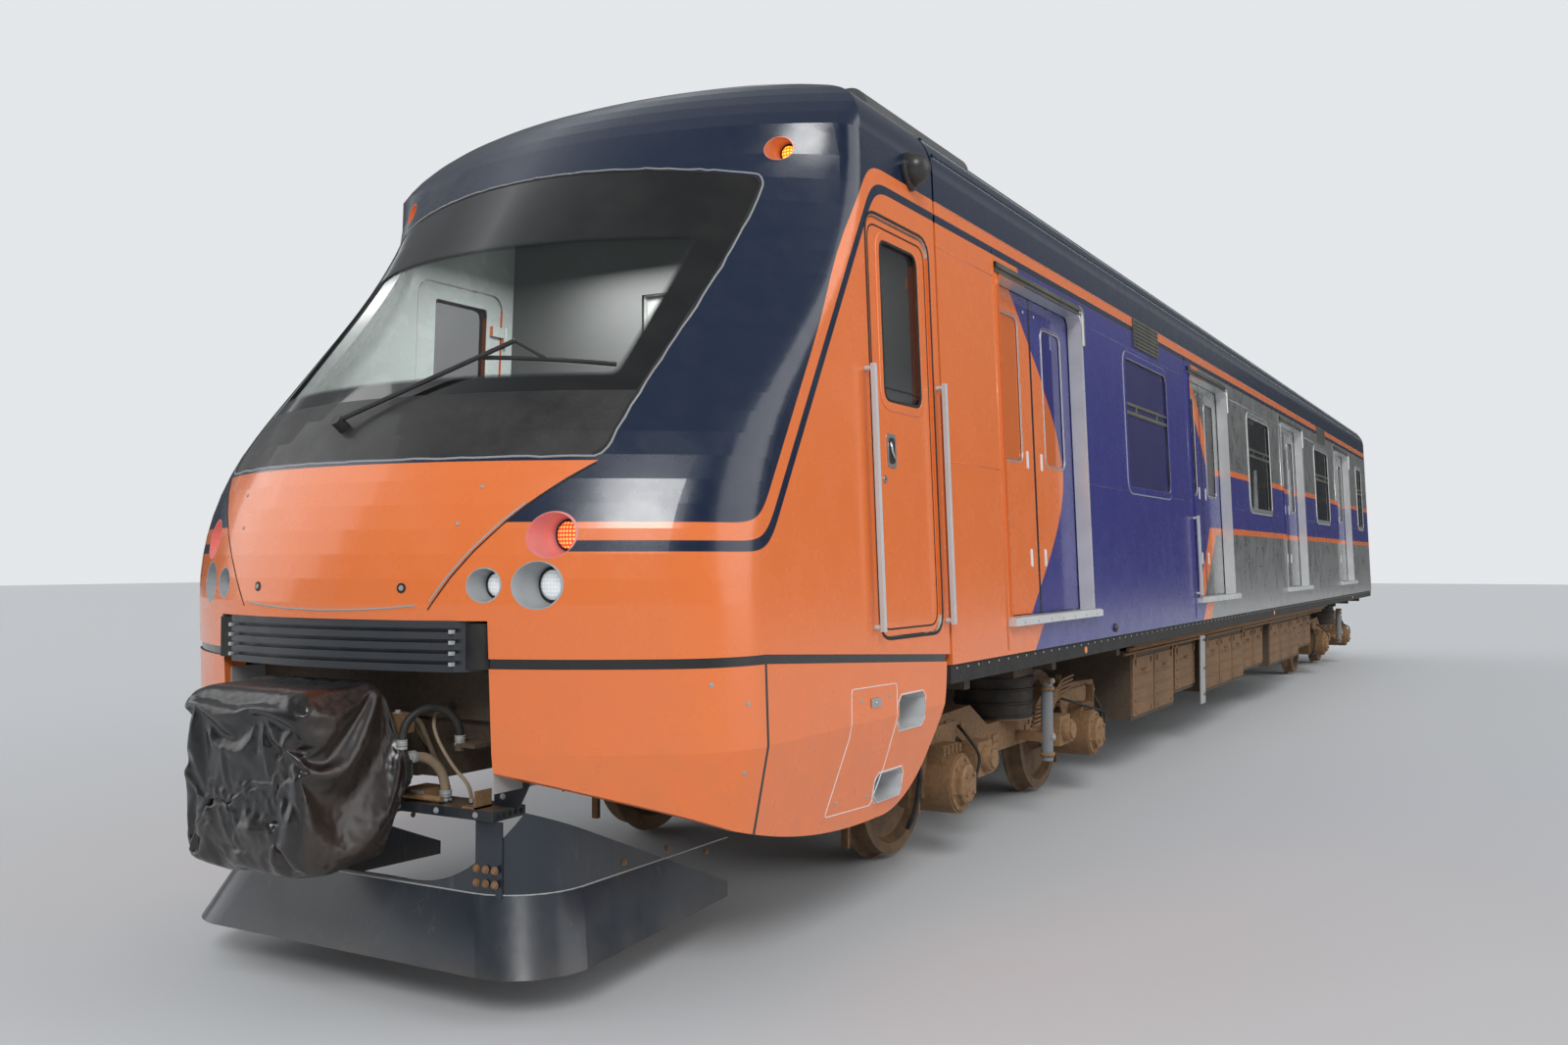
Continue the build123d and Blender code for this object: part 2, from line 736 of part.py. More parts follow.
def step_pockets():
    """Sheet boxes let into the skirt."""
    pockets = []
    for y0, y1, z0, z1, rim in STEP_POCKETS:
        box = wall_octagon(y0 + SEAT, y1 - SEAT, z0 + SEAT, z1 - SEAT, rim, STEP_DEPTH)
        sheet = STEP_SHEET
        hollow = wall_octagon(y0 + sheet, y1 - sheet, z0 + sheet, z1 - sheet, -80, STEP_DEPTH - sheet)
        pocket = box - hollow
        pockets.extend([pocket, other_side(pocket)])
    return pockets


def anticlimber():
    """A ribbed block in the top of the notch, bowed like the nose."""
    plan = [(-620, -2590), (0, -2668), (620, -2590)]
    z0, z1 = 1250, NOTCH_TOP - SEAT
    rear = CAB_FLOOR_FRONT - SEAT
    edges = [
        ThreePointArc(*[(x, y, z0) for x, y in plan]),
        Line((620, -2590, z0), (700, -2480, z0)),
        Line((700, -2480, z0), (700, rear, z0)),
        Line((700, rear, z0), (-700, rear, z0)),
        Line((-700, rear, z0), (-700, -2480, z0)),
        Line((-700, -2480, z0), (-620, -2590, z0)),
    ]
    body = extrude(Face(Wire(edges)), amount=z1 - z0, dir=(0, 0, 1))
    grooves = []
    for step in range(4):
        z = z0 + 28 + step * 40
        ring = [(-640, -2566, z), (0, -2640, z), (640, -2566, z)]
        far = [(-800, -2900, z), (800, -2900, z)]
        edges = [
            ThreePointArc(*ring),
            Line(ring[2], far[1]),
            Line(far[1], far[0]),
            Line(far[0], ring[0]),
        ]
        grooves.append(extrude(Face(Wire(edges)), amount=14, dir=(0, 0, 1)))
    for groove in grooves:
        body = body - groove
    return body


def door_centres():
    return [DOOR_FIRST_Y + step * DOOR_PITCH for step in range(DOOR_COUNT)]


def window_spans():
    """Start and end station of each saloon window on one side."""
    spans = []
    for front, rear in zip(door_centres(), door_centres()[1:]):
        middle = (front + rear) / 2 + WINDOW_OFFSET
        spans.append((middle - WINDOW_WIDTH / 2, middle + WINDOW_WIDTH / 2))
    spans.append((REAR_WINDOW_Y - REAR_WINDOW_WIDTH / 2, REAR_WINDOW_Y + REAR_WINDOW_WIDTH / 2))
    return spans


def side_wall():
    """The left wall, with door openings, leaf pockets and windows."""
    wall = wall_box(JOINT_GAP / 2, CAR_REAR, SIDE_BOTTOM, SIDE_TOP, 0, WALL_THICK)
    half = DOOR_WIDTH / 2
    pocket = half + LEAF_TRAVEL + LEAF_LAP + LEAF_CLEARANCE
    for y in door_centres():
        wall = wall - wall_arch(y - half, y + half, DOOR_SILL_Z, DOOR_HEAD_Z, -20, LEAF_DEPTH, DOOR_CORNER_R)
        wall = wall - wall_box(y - half, y + half, DOOR_SILL_Z, DOOR_HEAD_Z - 30, 60, WALL_THICK + 20)
        wall = wall - wall_box(
            y - pocket,
            y + pocket,
            DOOR_SILL_Z,
            DOOR_HEAD_Z + 40,
            LEAF_DEPTH - LEAF_CLEARANCE,
            LEAF_DEPTH + LEAF_THICK + LEAF_CLEARANCE,
        )
    for y0, y1 in window_spans():
        wall = wall - wall_box(y0, y1, WINDOW_Z0, WINDOW_Z1, -20, WALL_THICK + 20, WINDOW_CORNER_R)
    return wall


def window_panes():
    panes = []
    for y0, y1 in window_spans():
        pane = wall_box(
            y0 + SEAT,
            y1 - SEAT,
            WINDOW_Z0 + SEAT,
            WINDOW_Z1 - SEAT,
            PANE_DEPTH,
            PANE_DEPTH + PANE_THICK,
            WINDOW_CORNER_R - SEAT,
        )
        panes.extend([pane, other_side(pane)])
    return panes


def door_frames():
    """The bright frame of each doorway with its sill plate."""
    frames = []
    half = DOOR_WIDTH / 2 - SEAT
    clear = half - FRAME_THICK
    z0, z1 = DOOR_SILL_Z + SEAT, DOOR_HEAD_Z - SEAT
    depth = LEAF_DEPTH - LEAF_CLEARANCE
    for y in door_centres():
        ring = wall_arch(y - half, y + half, z0, z1, -FRAME_PROUD, depth, DOOR_CORNER_R - SEAT)
        hole_top = z1 - FRAME_THICK
        ring = ring - wall_arch(
            y - clear, y + clear, z0 - 20, hole_top, -20, depth + 20, DOOR_CORNER_R - FRAME_THICK
        )
        tread = wall_box(y - half, y + half, z0, z0 + SILL_THICK, -SILL_PROUD, depth)
        nosing = wall_box(
            y - half - SILL_SPREAD, y + half + SILL_SPREAD, z0 - SILL_DROP, z0 + 1, -SILL_PROUD, -SEAT
        )
        frame = ring + tread + nosing
        frames.extend([frame, other_side(frame)])
    return frames


def door_leaf(y, toward):
    """One leaf of the left doorway at station y; toward is -1 or +1."""
    near = y + toward * 1.0
    far = y + toward * (DOOR_WIDTH / 2 + LEAF_LAP)
    y0, y1 = min(near, far), max(near, far)
    z0, z1 = DOOR_SILL_Z + 14, DOOR_HEAD_Z + 30
    leaf = wall_box(y0, y1, z0, z1, LEAF_DEPTH, LEAF_DEPTH + LEAF_THICK)
    middle = (y0 + y1) / 2
    wy0, wy1 = middle - LEAF_WINDOW_WIDTH / 2, middle + LEAF_WINDOW_WIDTH / 2
    leaf = leaf - wall_box(wy0, wy1, LEAF_WINDOW_Z0, LEAF_WINDOW_Z1, 60, 160, WINDOW_CORNER_R)
    pane = wall_box(
        wy0 + SEAT,
        wy1 - SEAT,
        LEAF_WINDOW_Z0 + SEAT,
        LEAF_WINDOW_Z1 - SEAT,
        LEAF_DEPTH + 6,
        LEAF_DEPTH + 6 + LEAF_PANE_THICK,
        WINDOW_CORNER_R - SEAT,
    )
    for shoe in (y0 + 120, y1 - 120):
        leaf = leaf + wall_box(shoe - 40, shoe + 40, DOOR_SILL_Z + SEAT, z0 + 5, LEAF_DEPTH + 8, LEAF_DEPTH + 26)
    return leaf, pane


def cab_hinge_halves():
    """Lift-off hinges of the left cab door: halves on the leaf, then on the mask."""
    y = CAB_DOOR_Y1 + CAB_HINGE_SETBACK
    edge = CAB_DOOR_Y1 - CAB_DOOR_CLEARANCE
    leaf_back = CAB_DOOR_SET_IN + CAB_DOOR_THICK
    on_leaf, on_mask = [], []
    for z in CAB_HINGE_HEIGHTS:
        top, low = z + CAB_HINGE_LENGTH, z - CAB_HINGE_LENGTH
        strap = wall_box(edge - 90, edge - 4, z, top, leaf_back - 1, CAB_HINGE_DEPTH)
        strap = strap + wall_box(edge - 10, y, z, top, CAB_HINGE_DEPTH - CAB_HINGE_R, CAB_HINGE_DEPTH)
        strap = strap + wall_pin(y, z, top, CAB_HINGE_DEPTH, CAB_HINGE_R)
        on_leaf.append(strap - wall_pin(y, low, top + 20, CAB_HINGE_DEPTH, CAB_HINGE_PIN_R + PIVOT_CLEARANCE))
        lug = wall_box(y - CAB_HINGE_R, y + CAB_HINGE_R, low, z - SEAT, MASK_THICK - 2, CAB_HINGE_DEPTH)
        lug = lug + wall_pin(y, low, z - SEAT, CAB_HINGE_DEPTH, CAB_HINGE_R)
        on_mask.append(lug + wall_pin(y, low, top + 10, CAB_HINGE_DEPTH, CAB_HINGE_PIN_R))
    return on_leaf, on_mask


def cab_door():
    """The leaf and the pane of the left cab door."""
    gap = CAB_DOOR_CLEARANCE
    leaf = wall_box(
        CAB_DOOR_Y0 + gap,
        CAB_DOOR_Y1 - gap,
        CAB_DOOR_Z0 + gap,
        CAB_DOOR_Z1 - gap,
        CAB_DOOR_SET_IN,
        CAB_DOOR_SET_IN + CAB_DOOR_THICK,
        CAB_DOOR_CORNER_R - gap,
    )
    leaf = leaf - wall_box(
        CAB_WINDOW_Y0,
        CAB_WINDOW_Y1,
        CAB_WINDOW_Z0,
        CAB_WINDOW_Z1,
        -20,
        120,
        CAB_WINDOW_CORNER_R,
    )
    pane = wall_box(
        CAB_WINDOW_Y0 + SEAT,
        CAB_WINDOW_Y1 - SEAT,
        CAB_WINDOW_Z0 + SEAT,
        CAB_WINDOW_Z1 - SEAT,
        CAB_DOOR_SET_IN + CAB_PANE_DEPTH,
        CAB_DOOR_SET_IN + CAB_PANE_DEPTH + CAB_PANE_THICK,
        CAB_WINDOW_CORNER_R - SEAT,
    )
    return join([leaf] + cab_hinge_halves()[0]), pane


def cab_floor():
    """The floor under the cab, its corners cut to follow the nose."""
    half, front = CAB_FLOOR_HALF, CAB_FLOOR_FRONT
    rear = JOINT_GAP / 2 - SEAT
    low = SOLE_BOTTOM + SEAT
    plan = [(-half, rear), (-half, -1750), (-860, front), (860, front), (half, -1750), (half, rear)]
    loop = [(x, y, low) for x, y in plan]
    face = Face(Wire([Line(a, b) for a, b in zip(loop, loop[1:] + loop[:1])]))
    floor = extrude(face, amount=CAB_FLOOR_Z - low, dir=(0, 0, 1))
    x, y, z = JUMPER_CABLE[0]
    return floor + rod_y(x, y, front, z, JUMPER_CABLE_R + TAP_RIM)


def underframe():
    deck_half = side_x(FLOOR_Z) - WALL_THICK / LEAN_COS - SEAT
    y0, y1 = JOINT_GAP / 2, CAR_REAR
    sole_top = SIDE_BOTTOM - WALL_THICK * LEAN_SIN - SEAT
    frame = block(-deck_half, deck_half, y0, y1, SIDE_BOTTOM - 10, FLOOR_Z)
    frame = frame + block(-SOLE_HALF, SOLE_HALF, y0, y1, SOLE_BOTTOM, sole_top)
    beam_bottom = SOLE_BOTTOM - BEAM_DEPTH
    for step in range(13):
        y = 500 + step * 1480
        frame = frame + block(-CROSS_MEMBER_HALF, CROSS_MEMBER_HALF, y, y + 80, beam_bottom, SOLE_BOTTOM)
    half_width = LONG_BEAM_WIDTH / 2
    for x in (-LONG_BEAM_X, LONG_BEAM_X):
        frame = frame + block(x - half_width, x + half_width, -2300, 18700, beam_bottom, SOLE_BOTTOM)
    for y in (FRONT_PIVOT_Y, REAR_PIVOT_Y):
        frame = frame + block(-BOLSTER_HALF, BOLSTER_HALF, y - 260, y + 260, AIR_SPRING_TOP + SEAT, SOLE_BOTTOM)
        frame = frame + rod_z(0, y, PIVOT_BOTTOM, SOLE_BOTTOM, PIVOT_R)
    frame = frame + block(-LONG_BEAM_X, LONG_BEAM_X, -2300, -1900, beam_bottom, SOLE_BOTTOM)
    frame = frame + block(-300, 300, -2300, -1900, 800, SOLE_BOTTOM)
    frame = frame + block(-250, 250, DRAWBAR_ROOT_Y - 300, DRAWBAR_ROOT_Y, 780, SOLE_BOTTOM)
    x, y, z = BRAKE_HOSE[-1]
    frame = frame + block(x - 18, LONG_BEAM_X, y - 18, -2240, beam_bottom - 16, beam_bottom)
    frame = frame + rod_z(x, y, z - 2 * TAP_LENGTH, z, BRAKE_HOSE_R + TAP_RIM)
    return frame


def sole_strips():
    x0 = SOLE_HALF + SEAT
    drop = (side_x(SIDE_BOTTOM) - x0) * LEAN_SIN
    top = SIDE_BOTTOM - drop - SEAT
    strip = block(x0, x0 + SOLE_STRIP_THICK, JOINT_GAP / 2, CAR_REAR, SOLE_BOTTOM - 4, top)
    return [strip, other_side(strip)]


def roof():
    outer = body_prism(JOINT_GAP / 2, CAR_REAR, 0, SIDE_TOP + SEAT)
    inner = body_prism(0, CAR_REAR + 20, WALL_THICK, SIDE_TOP - 100)
    return outer - inner


def rear_end_wall():
    wall = body_prism(CAR_REAR - 80, CAR_REAR, WALL_THICK + SEAT, FLOOR_Z + SEAT)
    return wall - block(-430, 430, CAR_REAR - 200, CAR_REAR + 50, FLOOR_Z - 50, 3300)


def cab_bulkhead():
    wall = body_prism(JOINT_GAP / 2, 72, WALL_THICK + SEAT, FLOOR_Z + SEAT)
    wall = wall + body_prism(-JOINT_GAP / 2 + SEAT, JOINT_GAP / 2 - SEAT, 12, FLOOR_Z + SEAT)
    wall = wall - block(-400, 400, -100, 45, FLOOR_Z - 50, 3200)
    return wall


def gangway_bellows():
    ring = []
    for step in range(5):
        y = CAR_REAR + SEAT + step * 46
        grow = 40 if step % 2 else 0
        fold = block(-560 - grow, 560 + grow, y, y + 46, 1240 - grow, 3400 + grow)
        ring.append(fold - block(-460, 460, y - 10, y + 60, 1340, 3300))
    return join(ring)


def air_conditioners():
    """Roof units that sit on the crown: y0, y1, half width, top."""
    units = []
    for y0, y1, half, top in ((60, 1500, 1020, 4200), (4400, 7400, 880, 4250), (11200, 14200, 880, 4250)):
        z0 = roof_height(half) - 100
        body = block(-half, half, y0, y1, z0, top)
        edges = body.edges().filter_by(Axis.Y).group_by(Axis.Z)[-1]
        body = fillet(edges, 110)
        units.append(body - body_prism(y0 - 100, y1 + 100, -SEAT, SIDE_TOP))
    return units


def louvres():
    """Slatted vents over the saloon windows."""
    vents = []
    for y in (4155, 13600):
        y0, y1 = y - 365, y + 365
        body = wall_box(y0, y1, 3284, 3504, -12, -SEAT)
        for step in range(7):
            z = 3296 + step * 29
            body = body - wall_box(y0 + 20, y1 - 20, z, z + 15, -30, -5)
        vents.extend([body, other_side(body)])
    return vents


def grab_rails():
    rails = []
    for y, z0, z1 in ((-865, 1340, 2550), (-50, 1340, 2550), (5520, 1354, 2046)):
        rail = wall_box(y - 14, y + 14, z0, z1, -52, -32)
        for z in (z0 + 20, z1 - 20):
            rail = rail + wall_rod(y, z, -40, -SEAT, 12)
        rails.extend([rail, other_side(rail)])
    return rails


def side_domes():
    base = wall_rod(-282, 3592, -30, -SEAT, 86)
    ball = WALL_PLANE * Pos(-282, 3592 / LEAN_COS, 30) * Sphere(80)
    dome = base + (ball - wall_rod(-282, 3592, -30, 200, 200))
    return [dome, other_side(dome)]


def wiper():
    """Hub on the apron, cranked arm, and a blade bowed to the glass."""
    x, z = WIPER_PIVOT
    hub = rod_between(on_front(x, z, SEAT - STRIP_FALL), on_front(x, z, 52), 26)
    arm = rod_between(on_front(x, z, 42), on_front(*WIPER_ELBOW, 58), WIPER_ARM_R)
    link = rod_between(on_front(*WIPER_ELBOW, 58), on_front(*WIPER_BLADE[1], 20), 8)
    route = ThreePointArc(*[on_front(x, z, WIPER_BLADE_R + 6) for x, z in WIPER_BLADE])
    blade = sweep(Plane(route @ 0, z_dir=route % 0) * Circle(WIPER_BLADE_R), path=route)
    return hub + arm + link + blade


def coupler():
    """Shank and head, on the front buffer beam."""
    shank = rod_y(0, -2760, -2310, COUPLER_Z, SHANK_R)
    head = block(-240, 240, -2960, -2760, COUPLER_Z - 200, COUPLER_Z + 220)
    cone = rod_y(0, -3000, -2960, COUPLER_Z + 40, 110)
    anchor = block(-200, 200, -2350, -2300 - SEAT, COUPLER_Z - 75, COUPLER_Z + 150)
    return shank + head + cone + anchor


def coupler_cover():
    """A closed bag with a flat neck behind it, round the coupler's head."""
    outer = block(-COVER_HALF, COVER_HALF, COVER_FRONT, COVER_REAR, COVER_Z0, COVER_Z1)
    outer = chamfer(outer.edges(), COVER_CHAMFER)
    neck = block(-COVER_NECK_HALF, COVER_NECK_HALF, COVER_REAR - 40, COVER_NECK_REAR, *COVER_NECK_Z)
    inner = block(
        -COVER_HALF + COVER_WALL,
        COVER_HALF - COVER_WALL,
        COVER_FRONT + COVER_WALL,
        COVER_REAR - COVER_WALL,
        COVER_Z0 + COVER_WALL,
        COVER_Z1 - COVER_WALL,
    )
    inner = chamfer(inner.edges(), COVER_CHAMFER - COVER_WALL / 2)
    return outer + neck - inner - rod_y(0, COVER_REAR - 60, COVER_REAR + 200, COUPLER_Z, SHANK_R + SEAT)


def coupler_beam():
    """The flat tray below the coupler, hung from the long beams."""
    tray = block(-TRAY_HALF, TRAY_HALF, TRAY_FRONT, TRAY_REAR, TRAY_BOTTOM, TRAY_TOP)
    hanger_top = SOLE_BOTTOM - BEAM_DEPTH - SEAT
    x = TRAY_HANGER_X
    gusset = [(x, TRAY_TOP - 1), (x + 107, TRAY_TOP - 1), (x + 165, 825), (x + 165, 865), (x, 865)]
    plane = Plane(origin=(0, -2330, 0), x_dir=(1, 0, 0), z_dir=(0, -1, 0))
    hanger = plane * extrude(make_face(Polyline(*gusset, close=True)), amount=12)
    hanger = hanger + block(x - 12, x + 12, -2342, TRAY_REAR, TRAY_TOP - 1, hanger_top)
    tray = tray + hanger + other_side(hanger)
    for route, radius in ((MAIN_HOSE, MAIN_HOSE_R), (JUMPER_CABLE, JUMPER_CABLE_R)):
        x, y, z = route[-1]
        tray = tray + rod_z(x, y, TRAY_TOP - 1, z, radius + TAP_RIM)
    return tray


def hose(route, radius):
    """A tube along straight runs, joined by arcs as large as the runs allow."""
    points = [Vector(*point) for point in route]
    runs = [b - a for a, b in zip(points, points[1:])]
    bends = []
    for before, after in zip(runs, runs[1:]):
        shorter = min(before.length, after.length)
        bends.append(ARC_SHARE * shorter / math.tan(math.radians(before.get_angle(after)) / 2))
    print("bend radii", [round(bend) for bend in bends])
    path = FilletPolyline(*points, radius=bends)
    return sweep(Plane(points[0], z_dir=runs[0]) * Circle(radius), path=path)


def plow_plan(z, flare, grow):
    """Plan of the deflector at one height; its flare runs out at the rear."""
    half, front, radius = PLOW_HALF + flare + grow, PLOW_FRONT - flare - grow, PLOW_CORNER_R + grow
    rear_half = PLOW_HALF + grow
    mid = radius * (1 - math.sqrt(0.5))
    edges = [
        Line((-rear_half, PLOW_REAR, z), (rear_half, PLOW_REAR, z)),
        Line((rear_half, PLOW_REAR, z), (half, front + radius, z)),
        ThreePointArc(
            (half, front + radius, z),
            (half - mid, front + mid, z),
            (half - radius, front, z),
        ),
        Line((half - radius, front, z), (-half + radius, front, z)),
        ThreePointArc(
            (-half + radius, front, z),
            (-half + mid, front + mid, z),
            (-half, front + radius, z),
        ),
        Line((-half, front + radius, z), (-rear_half, PLOW_REAR, z)),
    ]
    return Face(Wire(edges))


def plow_solid(grow):
    low = loft([plow_plan(PLOW_Z0, PLOW_FLARE, grow), plow_plan(PLOW_BEND_Z, 0, grow)], ruled=True)
    return low + extrude(plow_plan(PLOW_BEND_Z, 0, grow), amount=400, dir=(0, 0, 1))


def plow_dip():
    """The cut-out in the middle of the deflector's front, a hollow curve."""
    low, peak = PLOW_BEND_Z + 12, PLOW_PEAK_Z
    edges = [
        Line((-220, low), (220, low)),
        ThreePointArc((220, low), (625, low + 118), (800, peak)),
        Line((800, peak), (800, 1000)),
        Line((800, 1000), (-800, 1000)),
        Line((-800, 1000), (-800, peak)),
        ThreePointArc((-800, peak), (-625, low + 118), (-220, low)),
    ]
    return front_prism(make_face(edges), y1=-2000)


def obstacle_deflector():
    sheet = plow_solid(0) - plow_solid(-PLOW_THICK)
    sheet = sheet - block(-1300, 1300, PLOW_REAR - 20, PLOW_REAR + 20, 0, 1000)
    top = [
        (-2900, PLOW_PEAK_Z),
        (PLOW_FRONT, PLOW_PEAK_Z),
        (PLOW_REAR + 10, PLOW_TIP_Z),
        (PLOW_REAR + 10, 1000),
        (-2900, 1000),
    ]
    sheet = sheet - prism_x(top, -1300, 1300) - plow_dip()
    x0, x1 = PLOW_BRACKET_X
    y, thick = PLOW_FRONT + PLOW_THICK - 1, PLOW_BRACKET_THICK
    bracket = block(x0, x1, y, y + thick, PLOW_BEND_Z - 30, TRAY_BOTTOM - SEAT)
    bracket = bracket + block(x0, x0 + thick, y, y + 90, PLOW_BEND_Z + 20, TRAY_BOTTOM - SEAT)
    return sheet + bracket + other_side(bracket)


def driver_desk():
    """A console across the cab, with a knee space in front of the seat."""
    low = CAB_FLOOR_Z + SEAT
    profile = [(-2050, low), (-1500, low), (-1500, low + 640), (-1750, low + 800), (-2050, low + 840)]
    desk = prism_x(profile, -DESK_HALF, DESK_HALF)
    return desk - block(-680, 20, -1800, -1400, CAB_FLOOR_Z, low + 560)


def seats():
    pieces = []
    for y0, y1 in window_spans():
        inner = side_x(1800) - WALL_THICK
        profile = [
            (inner - 30, FLOOR_Z + 120),
            (inner - 60, FLOOR_Z + 380),
            (inner - 430, FLOOR_Z + 410),
            (inner - 430, FLOOR_Z + 460),
            (inner - 80, FLOOR_Z + 440),
            (inner - 50, FLOOR_Z + 820),
            (inner - 30, FLOOR_Z + 820),
        ]
        loop = [(x, y0, z) for x, z in profile]
        face = Face(Wire([Line(a, b) for a, b in zip(loop, loop[1:] + loop[:1])]))
        bench = extrude(face, amount=y1 - y0, dir=(0, 1, 0))
        for y in (y0 + 120, y1 - 120):
            bench = bench + block(inner - 300, inner - 240, y - 20, y + 20, FLOOR_Z + SEAT, FLOOR_Z + 415)
        pieces.extend([bench, other_side(bench)])
    base = block(-560, -100, -1150, -690, CAB_FLOOR_Z + 420, CAB_FLOOR_Z + 520)
    back = block(-540, -120, -700, -600, CAB_FLOOR_Z + 430, CAB_FLOOR_Z + 1080)
    post = rod_z(-330, -920, CAB_FLOOR_Z + SEAT, CAB_FLOOR_Z + 430, 60)
    pieces.append(base + back + post)
    return pieces


def stanchions():
    """Poles beside the doorways, and a rail that runs past them."""
    pieces = []
    top = roof_height(POLE_X + POLE_R, WALL_THICK) - SEAT
    rail_x = POLE_X + 2 * POLE_R + SEAT
    for side in SIDES:
        pieces.append(rod_y(side * rail_x, 700, 18500, POLE_RAIL_Z, POLE_R))
        for centre in door_centres():
            for y in (centre - POLE_FROM_DOOR, centre + POLE_FROM_DOOR):
                pieces.append(rod_z(side * POLE_X, y, FLOOR_Z + SEAT, top, POLE_R))
    return pieces


def underfloor_boxes():
    """Equipment cases: y0, y1, inner x, outer x, bottom."""
    table = (
        (4020, 5350, 300, 1330, 420),
        (5500, 6300, 600, 1300, 500),
        (6500, 8300, 300, 1350, 430),
        (8500, 9700, 600, 1300, 470),
        (9900, 12000, 300, 1340, 430),
        (12200, 13300, 600, 1300, 500),
    )
    cases = []
    for y0, y1, x0, x1, bottom in table:
        case = block(x0, x1, y0, y1, bottom, SOLE_BOTTOM - BEAM_DEPTH - SEAT)
        cases.extend([case, other_side(case)])
    return cases


def bogie_frame(pivot_y):
    """H frame: two side beams, dropped between the axle boxes."""
    reach = WHEELBASE / 2 + BEAM_OVERHANG
    top = [(-reach, 760), (-700, 800), (-420, 655), (420, 655), (700, 800), (reach, 760)]
    low = [(reach, 640), (900, 640), (520, 470), (-520, 470), (-900, 640), (-reach, 640)]
    points = [(pivot_y + y, z) for y, z in top + low]
    beam = prism_x(points, BEAM_X - BEAM_WIDTH / 2, BEAM_X + BEAM_WIDTH / 2)
    frame = beam + other_side(beam)
    frame = frame + block(-BEAM_X, BEAM_X, pivot_y - CROSS_BEAM_HALF, pivot_y + CROSS_BEAM_HALF, 500, 650)
    frame = frame + rod_z(0, pivot_y, 490, 760, PIVOT_R + 90)
    return frame - rod_z(0, pivot_y, 400, 900, PIVOT_R + PIVOT_CLEARANCE)


def bogie_gear(pivot_y):
    """Axle boxes, air springs, upright dampers, motors and rail guards."""
    pieces = []
    for end in (-1, 1):
        axle_y = pivot_y + end * WHEELBASE / 2
        box = rod_x(AXLE_BOX_X0, AXLE_BOX_X1, axle_y, WHEEL_R, AXLE_BOX_R)
        box = box + block(AXLE_BOX_X0, AXLE_BOX_X1 - 60, axle_y - 120, axle_y + 120, WHEEL_R, 640 - SEAT)
        box = box - rod_x(900, JOURNAL_END + PIVOT_CLEARANCE, axle_y, WHEEL_R, JOURNAL_R + PIVOT_CLEARANCE)
        motor_y = pivot_y + end * MOTOR_Y
        foot_y = pivot_y + end * (CROSS_BEAM_HALF + SEAT)
        motor = rod_x(-MOTOR_HALF, MOTOR_HALF, motor_y, 480, MOTOR_R)
        motor = motor + block(-200, 200, min(motor_y, foot_y), max(motor_y, foot_y), 500, 620)
        guard_y = axle_y + end * (WHEEL_R + RAIL_GUARD_AHEAD)
        guard = block(820, 860, guard_y - 15, guard_y + 15, 120, 640)
        guard = guard + block(820, BEAM_X - BEAM_WIDTH / 2 - SEAT, guard_y - 15, guard_y + 15, 600, 690)
        pieces.extend([box, other_side(box), motor, guard, other_side(guard)])
    spring = rod_z(AIR_SPRING_X, pivot_y, AIR_SPRING_SEAT - 5 + SEAT, AIR_SPRING_TOP, AIR_SPRING_R)
    damper = rod_z(DAMPER_X, pivot_y + 120, 380, 880, DAMPER_R)
    damper = damper + block(BEAM_X + BEAM_WIDTH / 2 + SEAT, DAMPER_X, pivot_y + 90, pivot_y + 150, 500, 560)
    pieces.extend([spring, other_side(spring), damper, other_side(damper)])
    return pieces


def wheel(axle_y):
    """The left wheel: hub, dished web, rim, tread and flange."""
    back = WHEEL_BACK_X
    front = back + WHEEL_WIDTH
    rim = WHEEL_R - RIM_THICK
    web = rim - RIM_FILLET
    hub = AXLE_R + HUB_THICK
    profile = [
        (back - HUB_PROUD, AXLE_R + SEAT),
        (front + HUB_PROUD, AXLE_R + SEAT),
        (front + HUB_PROUD, hub),
        (front - WEB_SET_IN, hub + RIM_FILLET),
        (front - WEB_SET_IN, web),
        (front, rim),
        (front, WHEEL_R - TREAD_FALL),
        (back + FLANGE_WIDTH + 14, WHEEL_R),
        (back + FLANGE_WIDTH, WHEEL_R + TREAD_FALL),
        (back + 18, WHEEL_R + FLANGE_DEPTH),
        (back + 6, WHEEL_R + FLANGE_DEPTH - 4),
        (back, WHEEL_R),
        (back, rim),
        (back + WEB_SET_IN, web),
        (back + WEB_SET_IN, hub + RIM_FILLET),
        (back - HUB_PROUD, hub),
    ]
    loop = [(x, axle_y, WHEEL_R + r) for x, r in profile]
    face = Face(Wire([Line(a, b) for a, b in zip(loop, loop[1:] + loop[:1])]))
    return revolve(face, axis=Axis((0, axle_y, WHEEL_R), (1, 0, 0)), revolution_arc=360)


def wheelset(axle_y):
    """Two wheels and two brake discs, pressed on one axle."""
    seat_end = WHEEL_BACK_X + WHEEL_WIDTH + HUB_PROUD
    axle = rod_x(-seat_end, seat_end, axle_y, WHEEL_R, AXLE_R)
    axle = axle + rod_x(-JOURNAL_END, JOURNAL_END, axle_y, WHEEL_R, JOURNAL_R)
    disc = rod_x(BRAKE_DISC_X - 40, BRAKE_DISC_X + 40, axle_y, WHEEL_R, BRAKE_DISC_R)
    disc = disc - rod_x(0, 2 * BRAKE_DISC_X, axle_y, WHEEL_R, AXLE_R + SEAT)
    turned = wheel(axle_y)
    return [axle, turned, other_side(turned), disc, other_side(disc)]


